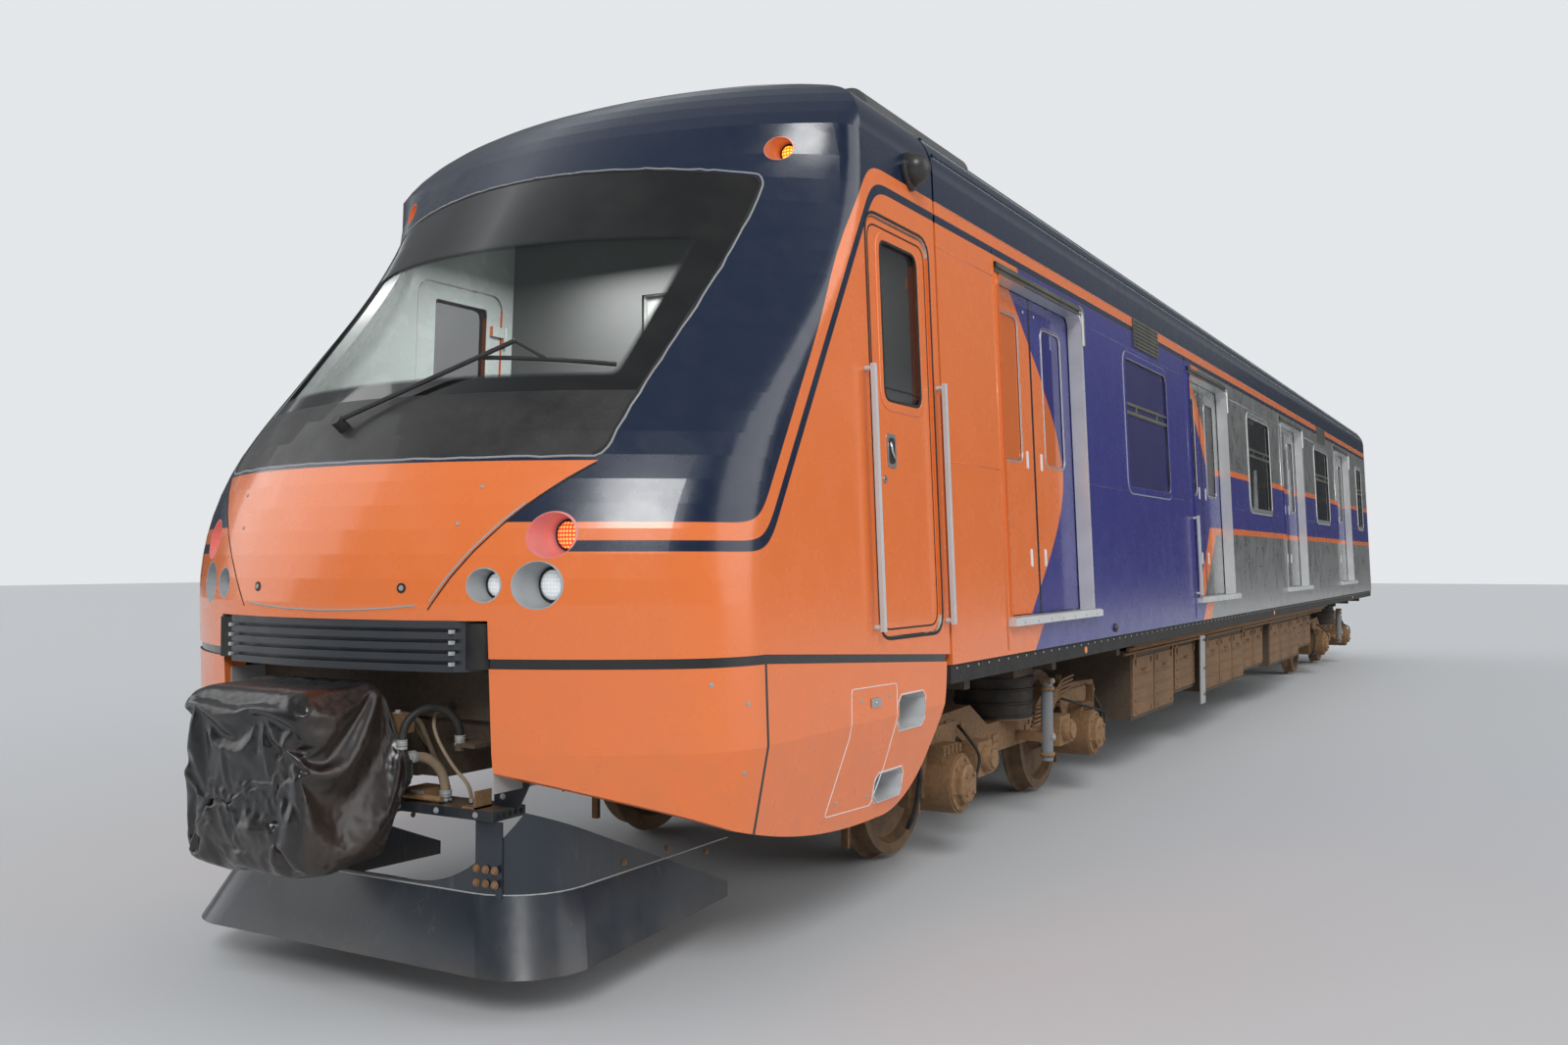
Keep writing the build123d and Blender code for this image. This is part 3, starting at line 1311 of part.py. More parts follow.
def rear_drawbar():
    """The half-permanent coupling to the next car, with its bolted flange."""
    bar = rod_y(0, DRAWBAR_ROOT_Y + SEAT, REAR_END, COUPLER_Z, DRAWBAR_R)
    bar = bar + rod_y(0, REAR_END - DRAWBAR_FLANGE_THICK, REAR_END, COUPLER_Z, DRAWBAR_FLANGE_R)
    for step in range(DRAWBAR_BOLTS):
        turn = math.radians(360 / DRAWBAR_BOLTS * step)
        x = DRAWBAR_BOLT_CIRCLE_R * math.cos(turn)
        z = COUPLER_Z + DRAWBAR_BOLT_CIRCLE_R * math.sin(turn)
        bar = bar - rod_y(x, REAR_END - 2 * DRAWBAR_FLANGE_THICK, REAR_END + 10, z, DRAWBAR_BOLT_R)
    return bar


def write_parts():
    os.makedirs("parts", exist_ok=True)
    outer, inner = cab_shapes()
    keep("cab_mask", cab_mask(outer, inner))
    keep("cab_skirts", skirts(outer))
    glass, apron, hatch = front_panels(outer)
    keep("windshield", glass)
    keep("windshield_apron", apron)
    keep("front_hatch", hatch)
    bowls, headlights, signals = lamps(outer)
    keep("lamp_bowls", *bowls)
    keep("headlamps", *headlights)
    keep("signal_lamps", *signals)
    keep("anticlimber", anticlimber())
    keep("wiper", wiper())
    wall = side_wall()
    keep("side_wall_left", wall)
    keep("side_wall_right", other_side(wall))
    keep("side_window_glass", *window_panes())
    keep("door_frames", *door_frames())
    for number, y in enumerate(door_centres(), 1):
        for toward, end in ((-1, "front"), (1, "rear")):
            leaf, pane = door_leaf(y, toward)
            keep(f"door_{number}_left_{end}_leaf", leaf, pane)
            keep(f"door_{number}_right_{end}_leaf", other_side(leaf), other_side(pane))
    leaf, pane = cab_door()
    keep("cab_door_left", leaf, pane)
    keep("cab_door_right", other_side(leaf), other_side(pane))
    keep("roof", roof())
    keep("underframe", underframe(), cab_floor(), *sole_strips())
    keep("rear_end_wall", rear_end_wall())
    keep("cab_bulkhead", cab_bulkhead())
    keep("gangway_bellows", gangway_bellows())
    keep("air_conditioners", *air_conditioners())
    keep("side_louvres", *louvres())
    keep("rails_and_steps", *grab_rails(), *step_pockets())
    keep("side_domes", *side_domes())
    keep("couplers", coupler(), rear_drawbar())
    keep("coupler_cover", coupler_cover())
    keep("coupler_beam", coupler_beam())
    keep("obstacle_deflector", obstacle_deflector())
    keep("brake_hose", hose(BRAKE_HOSE, BRAKE_HOSE_R))
    keep("main_air_hose", hose(MAIN_HOSE, MAIN_HOSE_R))
    keep("jumper_cable", hose(JUMPER_CABLE, JUMPER_CABLE_R))
    keep("driver_desk", driver_desk())
    keep("seats", *seats())
    keep("stanchions", *stanchions())
    keep("underfloor_boxes", *underfloor_boxes())
    for end, pivot_y in (("front", FRONT_PIVOT_Y), ("rear", REAR_PIVOT_Y)):
        keep(f"{end}_bogie_frame", bogie_frame(pivot_y))
        keep(f"{end}_bogie_gear", *bogie_gear(pivot_y))
        for place, step in (("leading", -1), ("trailing", 1)):
            keep(f"{end}_bogie_{place}_wheelset", *wheelset(pivot_y + step * WHEELBASE / 2))


write_parts()
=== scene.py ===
import json
import math
import random

import bmesh
import bpy
from mathutils import Euler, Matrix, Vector
from mathutils.bvhtree import BVHTree

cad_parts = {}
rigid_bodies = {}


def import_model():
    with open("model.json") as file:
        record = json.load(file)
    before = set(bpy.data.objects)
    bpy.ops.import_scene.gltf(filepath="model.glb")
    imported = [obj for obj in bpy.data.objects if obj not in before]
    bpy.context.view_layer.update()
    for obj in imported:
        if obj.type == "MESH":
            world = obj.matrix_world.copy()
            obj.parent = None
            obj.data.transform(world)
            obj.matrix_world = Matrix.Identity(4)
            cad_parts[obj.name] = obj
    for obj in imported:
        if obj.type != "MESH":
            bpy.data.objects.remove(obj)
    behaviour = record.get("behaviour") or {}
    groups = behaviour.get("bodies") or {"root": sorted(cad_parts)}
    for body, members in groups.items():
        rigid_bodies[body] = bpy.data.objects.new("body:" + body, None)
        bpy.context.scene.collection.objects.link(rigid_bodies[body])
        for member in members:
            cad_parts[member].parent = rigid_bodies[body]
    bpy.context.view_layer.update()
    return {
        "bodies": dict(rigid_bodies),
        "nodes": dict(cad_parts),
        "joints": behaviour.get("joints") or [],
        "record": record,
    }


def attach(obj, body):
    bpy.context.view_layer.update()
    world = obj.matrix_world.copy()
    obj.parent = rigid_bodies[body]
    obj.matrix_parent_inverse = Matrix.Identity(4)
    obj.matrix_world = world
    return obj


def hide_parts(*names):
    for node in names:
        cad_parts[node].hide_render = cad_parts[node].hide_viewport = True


# A metro driving car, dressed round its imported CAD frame. Lengths are in
# metres in the shared frame: the cab is at -Y and +X is the car's left side.
# Stations s are counted from the joint between the cab mask and the saloon,
# and heights h from the rail top, as in the part's source.
MID_STATION = 8.1125
RAIL_TOP = 0.028
LEFT, RIGHT = 1, -1
SIDES = (LEFT, RIGHT)

# The camera of the photograph
CAMERA_PLACE = (4.111, -14.3475, 1.689)
CAMERA_TURN = (91.65, 0.07, 29.79)
CAMERA_LENS = 30.41
SENSOR_WIDTH = 36.0

# Livery on the nose: where the slanted edge of the side panel starts, how far
# it leans, the heights of its foot and its top, and the widths of the bands
LIVERY_FOOT = (-1.688, 1.850)
LIVERY_SLANT = (0.5426, 0.8400)
LIVERY_LOW = 1.695
LIVERY_TOP = 3.395
LIVERY_ROUND = 0.16
STRIPE_WIDTH = 0.042
BAND_WIDTH = 0.068
LAMP_GAP_X = 0.95

# Livery on the side: the blue field is bounded by two blunt arrow shapes and
# runs on as a band between two orange lines
ARROW_UPPER = (1.222, 3.405, 1.0965)
ARROW_LOWER = (1.275, 1.137, 1.15)
ARROW_ROUND = 1.7
SECOND_ARROW = 4.46
SECOND_STRIPE = 0.30
BLUE_BAND = (1.967, 2.480)
BAND_LINE = 0.058

ORANGE = (0.80, 0.185, 0.042)
NAVY = (0.003, 0.012, 0.038)
VIOLET = (0.036, 0.036, 0.215)
LINING = (0.50, 0.56, 0.54)
STEEL = (0.56, 0.56, 0.55)

# The side wall: its face at one height, and how far it leans in
WALL_X = 1.515
WALL_X_HEIGHT = 1.2
WALL_LEAN = math.radians(2.26)
LEAN_COS, LEAN_SIN = math.cos(WALL_LEAN), math.sin(WALL_LEAN)

# Doorways and windows, as in the part
DOOR_FIRST, DOOR_PITCH, DOOR_COUNT = 1.678, 4.695, 4
DOOR_HALF = 0.8
DOOR_SILL, DOOR_HEAD = 1.330, 3.321
LEAF_DEPTH = 0.095
LEAF_MIDDLE = 0.4085
LEAF_WINDOW = (0.19, 2.262, 3.146)
WINDOW_HALF, WINDOW_OFFSET = 0.64, 0.108
WINDOW_LOW, WINDOW_HIGH = 2.181, 3.194
REAR_WINDOW = (17.85, 0.35)
FILM_END = 5.4
POCKETS = (((-0.640, -0.340), (0.875, 1.035)), ((-0.790, -0.490), (0.560, 0.690)))
POCKET_CUT = 0.031
CAB_PANE = ((-0.657, -0.235), (2.410, 3.170))

# Running gear
PIVOTS = (("front_bogie", 1.890), ("rear_bogie", 15.900))
WHEELBASE = 2.5
AXLE_H = 0.430
AXLE_BOX_FACE = 1.300
CAR_REAR = 18.870
SOLE_FACE = 1.5063
SPRING_X = 1.02
DAMPER_X, DAMPER_S = 1.335, 0.12
BOX_TOP = 0.90
SIDE_NAMES = ((LEFT, "left"), (RIGHT, "right"))

# Folds and upright beads of the side's panels: heights
FOLD_H = 2.17
BEAD_LOW, BEAD_HIGH = 1.16, 3.42

# The windshield: half width and height of its foot, the same of its top
# corners, and the height of its crest
SCREEN = (1.045, 2.062, 1.105, 3.38, 3.45)

# Roof units: front, rear, half width, top, places of the fans from the middle
LONG_UNIT_FANS = (-0.95, -0.32, 0.32, 0.95)
ROOF_UNITS = (
    (0.06, 1.50, 1.02, 4.20, (-0.30, 0.30)),
    (4.40, 7.40, 0.88, 4.25, LONG_UNIT_FANS),
    (11.20, 14.20, 0.88, 4.25, LONG_UNIT_FANS),
)

# Boxes under the floor: front, rear, distance of the face, bottom
FLOOR_BOXES = (
    (4.02, 5.35, 1.330, 0.420),
    (5.50, 6.30, 1.300, 0.500),
    (6.50, 8.30, 1.350, 0.430),
    (8.50, 9.70, 1.300, 0.470),
    (9.90, 12.00, 1.340, 0.430),
    (12.20, 13.30, 1.300, 0.500),
)

# Outline of the flap on the nose's lower panels, and their screws: (s, h)
SKIRT_FLAP = (
    (-1.118, 1.104), (-0.658, 1.096), (-0.667, 0.902), (-0.720, 0.720),
    (-0.801, 0.553), (-1.249, 0.570), (-1.132, 0.893),
)
SKIRT_SCREWS = (
    (-1.026, 1.048), (-0.742, 1.047), (-1.160, 0.620), (-0.850, 0.600),
    (-1.950, 1.120), (-1.950, 0.860), (-2.100, 1.200),
)

# Plate behind an axle box: station from the axle, height
CHEEK = (
    (-0.30, 0.735), (0.30, 0.735), (0.30, 0.66), (0.17, 0.46),
    (0.17, 0.36), (-0.17, 0.36), (-0.17, 0.46), (-0.30, 0.66),
)
# Plates on a bogie frame: x, station from the pivot and height, from and to
BOGIE_PLATES = (
    (1.136, 1.144, 0.33, 0.39, 0.53, 0.71),
    (1.136, 1.172, 0.90, 0.906, 0.64, 0.86),
    (1.137, 1.215, 0.52, 0.70, 0.430, 0.520),
    (1.300, 1.372, 0.085, 0.155, 0.872, 0.905),
)
# Pads on a bogie frame: station from the pivot, bottom, top, height of bolts
FRAME_PADS = (
    (-1.62, 0.665, 0.745, 0.70),
    (-1.05, 0.665, 0.745, 0.70),
    (-0.30, 0.50, 0.58, 0.54),
    (0.30, 0.50, 0.58, 0.54),
    (1.05, 0.665, 0.745, 0.70),
    (1.62, 0.665, 0.745, 0.70),
)

# Cords: node, length, diameter, stiffness, finish, control points (x, s, h)
HOSES = (
    ("brake_hose", 0.41, 0.032, "medium", "hose_rubber", (
        (0.370, -2.600, 0.960), (0.370, -2.600, 1.018), (0.383, -2.573, 1.071), (0.406, -2.525, 1.102),
        (0.433, -2.470, 1.103), (0.456, -2.423, 1.072), (0.469, -2.395, 1.018), (0.469, -2.395, 0.960),
    )),
    ("main_air_hose", 0.285, 0.038, "medium", "tan_rubber", (
        (0.360, -2.560, 0.915), (0.360, -2.500, 0.915), (0.370, -2.446, 0.893),
        (0.382, -2.407, 0.849), (0.389, -2.389, 0.793), (0.389, -2.389, 0.737),
    )),
    ("jumper_cable", 0.45, 0.014, "limp", "tan_rubber", (
        (0.380, -2.372, 1.085), (0.380, -2.410, 1.085), (0.384, -2.444, 1.068), (0.394, -2.462, 1.032),
        (0.412, -2.462, 0.985), (0.440, -2.448, 0.925), (0.478, -2.428, 0.860), (0.520, -2.408, 0.812),
        (0.534, -2.400, 0.768), (0.534, -2.400, 0.737),
    )),
)

# Corners of a rectangle, by the ends of its two sides
CORNERS = ((0, 0), (1, 0), (1, 1), (0, 1))
STRIP_SUNK = 0.002
SOFT_EDGE = 0.0015


def place(x, s, h):
    """A point given by car station and height, in the shared frame."""
    return Vector((x, s - MID_STATION, h + RAIL_TOP))


def wall_point(s, h, out=0.0, side=LEFT):
    """A point on the side wall's outer face, or square out of it."""
    x = WALL_X - math.tan(WALL_LEAN) * (h - WALL_X_HEIGHT) + out * LEAN_COS
    return place(side * x, s, h + out * LEAN_SIN)


def wall_normal(side):
    return Vector((side * LEAN_COS, 0, LEAN_SIN))


def around(middle, half):
    """The ends of a span, from its middle."""
    return middle - half, middle + half


def grown(span, by):
    """The ends of a span that reaches further at both ends."""
    return span[0] - by, span[1] + by


def circle(count, radius, start=0.0):
    """Points round a circle, as pairs of numbers."""
    turns = [start + math.tau * i / count for i in range(count)]
    return [(radius * math.cos(t), radius * math.sin(t)) for t in turns]


def flat(points):
    return [(p.x, p.y) for p in points]


def door_centres():
    return [DOOR_FIRST + DOOR_PITCH * step for step in range(DOOR_COUNT)]


def window_spans():
    """Middle and half length of each saloon window."""
    spans = []
    for front, rear in zip(door_centres(), door_centres()[1:]):
        spans.append(((front + rear) / 2 + WINDOW_OFFSET, WINDOW_HALF))
    return spans + [REAR_WINDOW]


def rounded(points, radius, steps=5, closed=False):
    """The same line with its corners turned into curves."""
    points = [Vector(p) for p in points]
    line = []
    for i, point in enumerate(points):
        if not closed and i in (0, len(points) - 1):
            line.append(point)
            continue
        before, after = points[i - 1] - point, points[(i + 1) % len(points)] - point
        reach = min(radius, before.length * 0.48, after.length * 0.48)
        start, end = point + before.normalized() * reach, point + after.normalized() * reach
        for step in range(steps + 1):
            t = step / steps
            line.append(start * (1 - t) ** 2 + point * 2 * t * (1 - t) + end * t ** 2)
    return line


def rounded_box(span, heights, radius):
    """Corners of a rounded rectangle on the wall, as (s, h) pairs."""
    corners = [(span[i], heights[j]) for i, j in CORNERS]
    return flat(rounded(corners, radius * 1.2, closed=True))


def spaced(points, gap):
    """Points at even steps along a line of two-number points."""
    line = [Vector(p) for p in points]
    out = [line[0]]
    for a, b in zip(line, line[1:]):
        count = max(1, round((b - a).length / gap))
        out.extend(a + (b - a) * step / count for step in range(1, count + 1))
    return flat(out)


def new_object(name, data):
    made = bpy.data.objects.new(name, data)
    bpy.context.scene.collection.objects.link(made)
    return made


class Piece:
    """One mesh, put together from simple forms in the shared frame."""

    waiting = []

    def __init__(self, name, finish, body="body"):
        self.name, self.finish, self.body = name, finish, body
        self.verts, self.faces, self.smooth = [], [], []
        Piece.waiting.append(self)

    def skin(self, rings, smooth=True, closed=False):
        """A surface through rings that all have as many points."""
        base, size, count = len(self.verts), len(rings[0]), len(rings)
        for ring in rings:
            self.verts.extend(Vector(p) for p in ring)
        for step in range(count if closed else count - 1):
            near, far = base + step * size, base + (step + 1) % count * size
            for i in range(size):
                j = (i + 1) % size
                self.faces.append((near + i, near + j, far + j, far + i))
                self.smooth.append(smooth)
        if not closed:
            end = base + (count - 1) * size
            self.faces.append(tuple(base + i for i in reversed(range(size))))
            self.faces.append(tuple(end + i for i in range(size)))
            self.smooth.extend([False, False])

    def box(self, x, s, h, side=LEFT):
        """A block between pairs of x, station and height, or its mirror image."""
        rings = [[place(side * x[i], s[j], level) for i, j in CORNERS] for level in h]
        self.skin(rings, smooth=False)

    def wall_box(self, s, h, out, side):
        """A block on the side wall: station, height and height above it."""
        rings = [[wall_point(s[i], h[j], level, side) for i, j in CORNERS] for level in out]
        self.skin(rings, smooth=False)

    def plate(self, outline, x, station, side):
        """A flat plate square to the car's width, by its (s, h) outline."""
        rings = [[place(side * level, station + s, h) for s, h in outline] for level in x]
        self.skin(rings, smooth=False)

    def wall_plate(self, span, heights, radius, proud, side, depth):
        """A thin plate with round corners, on a face sunk into the wall."""
        corners = rounded_box(span, heights, radius)
        rings = [[wall_point(s, h, out - depth, side) for s, h in corners] for out in (-0.001, proud)]
        self.skin(rings, smooth=False)

    def sweep(self, points, profile, normals=None, closed=False, smooth=True):
        """A profile of (across, up) offsets, carried along a line of points."""
        points = [Vector(p) for p in points]
        rings, up = [], None
        for i, point in enumerate(points):
            before = points[i - 1] if i or closed else point
            after = points[(i + 1) % len(points)] if i < len(points) - 1 or closed else point
            along = (after - before).normalized()
            if normals:
                up = Vector(normals[i])
            elif up is None:
                up = along.orthogonal()
            across = along.cross(up).normalized()
            up = across.cross(along).normalized()
            rings.append([point + across * a + up * b for a, b in profile])
        self.skin(rings, smooth, closed)

    def tube(self, points, radius, sides=8, normals=None, closed=False):
        self.sweep(points, circle(sides, radius), normals, closed)

    def pipe(self, points, radius, bend=0.05, side=LEFT):
        """A tube along (x, s, h) points with round bends."""
        self.tube(rounded([place(side * x, s, h) for x, s, h in points], bend), radius)

    def strip(self, points, normals, width, proud, closed=False):
        """A flat strip that lies on a surface, with bevelled edges."""
        half, edge = width / 2, min(width / 4, proud)
        right = [(half, -STRIP_SUNK), (half, proud * 0.5), (half - edge, proud)]
        left = [(-across, up) for across, up in reversed(right)]
        self.sweep(points, left[-1:] + right + left[:-1], normals, closed, smooth=False)

    def wall_ring(self, span, heights, radius, width, proud, side, depth=0.0):
        """A flat frame round an opening in the side wall."""
        points = [wall_point(s, h, -depth, side) for s, h in rounded_box(span, heights, radius)]
        self.strip(points, [wall_normal(side)] * len(points), width, proud, closed=True)

    def wall_bead(self, span, heights, radius, thick, side, depth=0.0):
        """A thin round bead in the shape of a frame on the side wall."""
        points = [wall_point(s, h, -depth, side) for s, h in rounded_box(span, heights, radius)]
        self.tube(points, thick, 6, [wall_normal(side)] * len(points), closed=True)

    def rod(self, start, end, radius, sides=12):
        start, end = Vector(start), Vector(end)
        side = (end - start).orthogonal().normalized()
        self.tube([start, end], radius, sides, [side, side])

    def pin(self, x, s, h, radius, sides, side=LEFT):
        """A rod along the car's width, between a pair of x."""
        self.rod(place(side * x[0], s, h), place(side * x[1], s, h), radius, sides)

    def dome(self, centre, normal, radius, height, sides=8):
        """A rivet or bolt head that stands on a surface."""
        normal = Vector(normal).normalized()
        a = normal.orthogonal().normalized()
        b = normal.cross(a)
        rings = []
        for share, rise in ((1.0, -0.15), (1.0, 0.45), (0.72, 0.85), (0.25, 1.0)):
            level = Vector(centre) + normal * height * rise
            rings.append([level + a * u + b * v for u, v in circle(sides, radius * share)])
        self.skin(rings)

    def bolt(self, centre, normal, radius, height):
        """A hexagon head on a washer."""
        centre, normal = Vector(centre), Vector(normal).normalized()
        self.rod(centre - normal * height * 0.2, centre + normal * height * 0.25, radius * 1.35)
        self.rod(centre, centre + normal * height, radius, 6)

    def bolt_circle(self, centre, count, reach, start, radius, height, side):
        """Bolts round an (x, s, h) centre that face out from the car's side."""
        x, s, h = centre
        for to_s, to_h in circle(count, reach, math.radians(start)):
            self.bolt(place(side * x, s + to_s, h + to_h), (side, 0, 0), radius, height)

    def build(self, finishes):
        """Makes the object, gives it its finish and lets it ride on its body."""
        Piece.waiting.remove(self)
        mesh = bpy.data.meshes.new(self.name)
        mesh.from_pydata(self.verts, [], self.faces)
        mesh.polygons.foreach_set("use_smooth", self.smooth)
        mesh.materials.append(finishes[self.finish])
        tidy = bmesh.new()
        tidy.from_mesh(mesh)
        bmesh.ops.recalc_face_normals(tidy, faces=tidy.faces)
        tidy.to_mesh(mesh)
        tidy.free()
        made = new_object(self.name, mesh)
        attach(made, self.body)
        return made


class Skin:
    """The outer faces of some CAD nodes, for thin pieces that lie on them."""

    def __init__(self, frame, names):
        verts, faces = [], []
        for name in names:
            mesh = frame["nodes"][name].data
            base = len(verts)
            verts.extend(v.co.copy() for v in mesh.vertices)
            faces.extend([base + i for i in p.vertices] for p in mesh.polygons)
        self.tree = BVHTree.FromPolygons(verts, faces)

    def hit(self, start, run):
        """Where a ray meets the faces, and the normal there; None if it misses."""
        point, normal = self.tree.ray_cast(start, run)[:2]
        if point is None:
            return None
        return point, normal if normal.dot(run) < 0 else -normal

    def front(self, line):
        """Points and normals under a line of (x, height) seen from the front."""
        hits = [self.hit(place(x, -9.0, h), Vector((0, 1, 0))) for x, h in line]
        return [hit for hit in hits if hit]

    def side(self, line, side):
        """Points and normals under a line of (station, height) seen from a side."""
        hits = [self.hit(place(side * 4.0, s, h), Vector((-side, 0, 0))) for s, h in line]
        return [hit for hit in hits if hit]


def lay(piece, hits, width, proud, closed=False):
    """Lays a strip on the points of a skin."""
    piece.strip([p for p, n in hits], [n for p, n in hits], width, proud, closed)


class Field:
    """A number in a node tree; sums and products add nodes."""

    def __init__(self, nodes, socket):
        self.nodes = nodes
        self.socket = socket

    def __add__(self, other):
        return self.nodes.math("ADD", self, other)

    def __radd__(self, other):
        return self.nodes.math("ADD", other, self)

    def __sub__(self, other):
        return self.nodes.math("SUBTRACT", self, other)

    def __rsub__(self, other):
        return self.nodes.math("SUBTRACT", other, self)

    def __mul__(self, other):
        return self.nodes.math("MULTIPLY", self, other)

    def __truediv__(self, other):
        return self.nodes.math("DIVIDE", self, other)

    def __abs__(self):
        return self.nodes.math("ABSOLUTE", self)

    def spread(self, low, high, a, b):
        """Runs from a to b as the number goes from low to high."""
        return self.nodes.node("MapRange", dict(enumerate((self, low, high, a, b))))

    def over(self, limit, soft=SOFT_EDGE):
        """1 where the number is above the limit, 0 below, with a fine edge."""
        return self.spread(limit - soft, limit + soft, 0.0, 1.0)

    def within(self, low, high, soft=SOFT_EDGE):
        """1 where the number lies between two limits, 0 outside them."""
        return self.over(low, soft) * (1.0 - self.over(high, soft))

    def least(self, other, smooth=0.0):
        return self.nodes.math("SMOOTH_MIN", self, other, smooth)

    def most(self, other, smooth=0.0):
        return self.nodes.math("SMOOTH_MAX", self, other, smooth)


class Nodes:
    """The node tree of a material or of the world."""

    def __init__(self, tree, output):
        tree.nodes.clear()
        self.tree = tree
        self.surface = tree.nodes.new(output).inputs["Surface"]

    def feed(self, socket, value):
        """Links a field to a socket, or sets a number or colour there."""
        if isinstance(value, Field):
            self.tree.links.new(value.socket, socket)
        elif isinstance(value, tuple) and socket.type == "RGBA":
            socket.default_value = (*value, 1.0)
        else:
            socket.default_value = value

    def node(self, kind, inputs, output=0, **settings):
        """Adds a node, feeds its inputs and gives one of its outputs."""
        made = self.tree.nodes.new("ShaderNode" + kind)
        for setting, value in settings.items():
            setattr(made, setting, value)
        for name, value in inputs.items():
            self.feed(made.inputs[name], value)
        return Field(self, made.outputs[output])

    def math(self, kind, a, b=0.0, c=0.0):
        return self.node("Math", {0: a, 1: b, 2: c}, operation=kind)

    def parts(self, output):
        """X, Y and Z of one output of the texture coordinates."""
        spot = self.node("TexCoord", {}, output)
        split = self.node("SeparateXYZ", {0: spot})
        return [Field(self, socket) for socket in split.socket.node.outputs]


class Finish(Nodes):
    """One procedural material, built round a Principled shader."""

    def __init__(self, name, **sockets):
        self.material = bpy.data.materials.new(name)
        self.material.use_nodes = True
        super().__init__(self.material.node_tree, "ShaderNodeOutputMaterial")
        shader = self.node("BsdfPrincipled", {})
        self.feed(self.surface, shader)
        self.inputs = shader.socket.node.inputs
        self.heights = {}
        self.put(**sockets)

    def put(self, **sockets):
        """Feeds sockets of the shader, and gives the material."""
        for name, value in sockets.items():
            self.feed(self.inputs[name.replace("_", " ")], value)
        if "Alpha" in sockets:
            self.material.surface_render_method = "DITHERED"
        return self.material

    def place(self):
        """The car's own coordinates: distance from the middle, station, height."""
        x, y, z = self.parts("Object")
        return x, y + MID_STATION, z - RAIL_TOP

    def station(self):
        return self.place()[1]

    def height(self):
        return self.place()[2]

    def facing(self):
        """The X, Y and Z of the surface's own normal."""
        return self.parts("Normal")

    def scaled(self, stretch):
        spot = self.node("TexCoord", {}, "Object")
        return self.node("Mapping", {"Vector": spot, "Scale": stretch})

    def noise(self, scale, detail=3.0, rough=0.55, stretch=(1, 1, 1)):
        grain = {"Scale": scale, "Detail": detail, "Roughness": rough, "Vector": self.scaled(stretch)}
        return self.node("TexNoise", grain, "Fac")

    def cells(self, scale):
        grain = {"Scale": scale, "Vector": self.scaled((1, 1, 1))}
        return self.node("TexVoronoi", grain, "Distance")

    def blend(self, share, a, b):
        """Colour a where the share is 0, and b where it is 1."""
        return self.node("Mix", {0: share, 6: a, 7: b}, 2, data_type="RGBA")

    def dusted(self, film, low, high, least, most, colour, dust):
        """A colour with dust on it where the film runs from low to high."""
        return self.blend(film.spread(low, high, least, most), colour, dust)

    def bump(self, height, distance, strength):
        """Adds a relief on top of those that are there."""
        relief = {"Strength": strength, "Distance": distance, "Height": height}
        normal = self.node("Bump", {**relief, **self.heights}, "Normal")
        self.heights = {"Normal": normal}
        self.put(Normal=normal)


def arrow(s, h, shift):
    """How far a point is in front of one of the livery's blunt arrow noses."""
    upper = ARROW_UPPER[0] + shift + (ARROW_UPPER[1] - h) * ARROW_UPPER[2]
    lower = ARROW_LOWER[0] + shift + (h - ARROW_LOWER[1]) * ARROW_LOWER[2]
    return upper.least(lower, ARROW_ROUND) - s


def across(a, b):
    """Length of a line whose two legs are given."""
    return a.nodes.math("SQRT", a * a + b * b)


def door_station(s):
    """Distance along the car from the nearest doorway's middle."""
    start = DOOR_FIRST - DOOR_PITCH / 2
    return s.nodes.math("FLOORED_MODULO", s - start, DOOR_PITCH) - DOOR_PITCH / 2


def nose_panel(s, h):
    """Above 0 behind the slanted edge on the nose, and below 0 outside it."""
    run = (s - LIVERY_FOOT[0]) * LIVERY_SLANT[1] - (h - LIVERY_FOOT[1]) * LIVERY_SLANT[0]
    return run.most(LIVERY_LOW - h, LIVERY_ROUND).least(LIVERY_TOP - h, LIVERY_ROUND)


def side_livery(finish, panel, s, h):
    """Colour of the side's orange, violet and bare steel, and where steel is."""
    first, second = arrow(s, h, 0.0), arrow(s, h, SECOND_ARROW)
    low, high = BLUE_BAND
    band = (high - low) / 2 - abs(h - (low + high) / 2)
    blue = second.most(band).over(0.0)
    lined = (second + SECOND_STRIPE).most(band + BAND_LINE).over(0.0)
    painted_side = finish.blend(lined, STEEL, finish.blend(blue, ORANGE, VIOLET))
    return finish.blend(first.over(0.0), painted_side, ORANGE), (1.0 - lined) * panel.over(0.0)


def paint_livery(finish, with_side=True):
    """The coach paint as one colour, and where it is bare steel."""
    x, s, h = finish.place()
    panel = nose_panel(s, h)
    stripe = (1.0 - panel.over(0.0)) * panel.over(-STRIPE_WIDTH) * abs(x).over(LAMP_GAP_X)
    outer = panel.over(-STRIPE_WIDTH - BAND_WIDTH)
    field, steel = side_livery(finish, panel, s, h) if with_side else (ORANGE, None)
    colour = finish.blend(panel.over(0.0), ORANGE, field)
    colour = finish.blend(stripe, colour, NAVY)
    colour = finish.blend(outer, NAVY, colour)
    return finish.blend(inner_face(finish), colour, LINING), steel


def inner_face(finish):
    """1 on faces that look in toward the middle of the car, 0 outside."""
    x, s, h = finish.place()
    to_x, to_s, to_h = finish.facing()
    nose = s - s.most(-0.45)
    outward = x * to_x + nose * to_s + (h - 2.3) * to_h
    return 1.0 - outward.over(-0.10, 0.02)


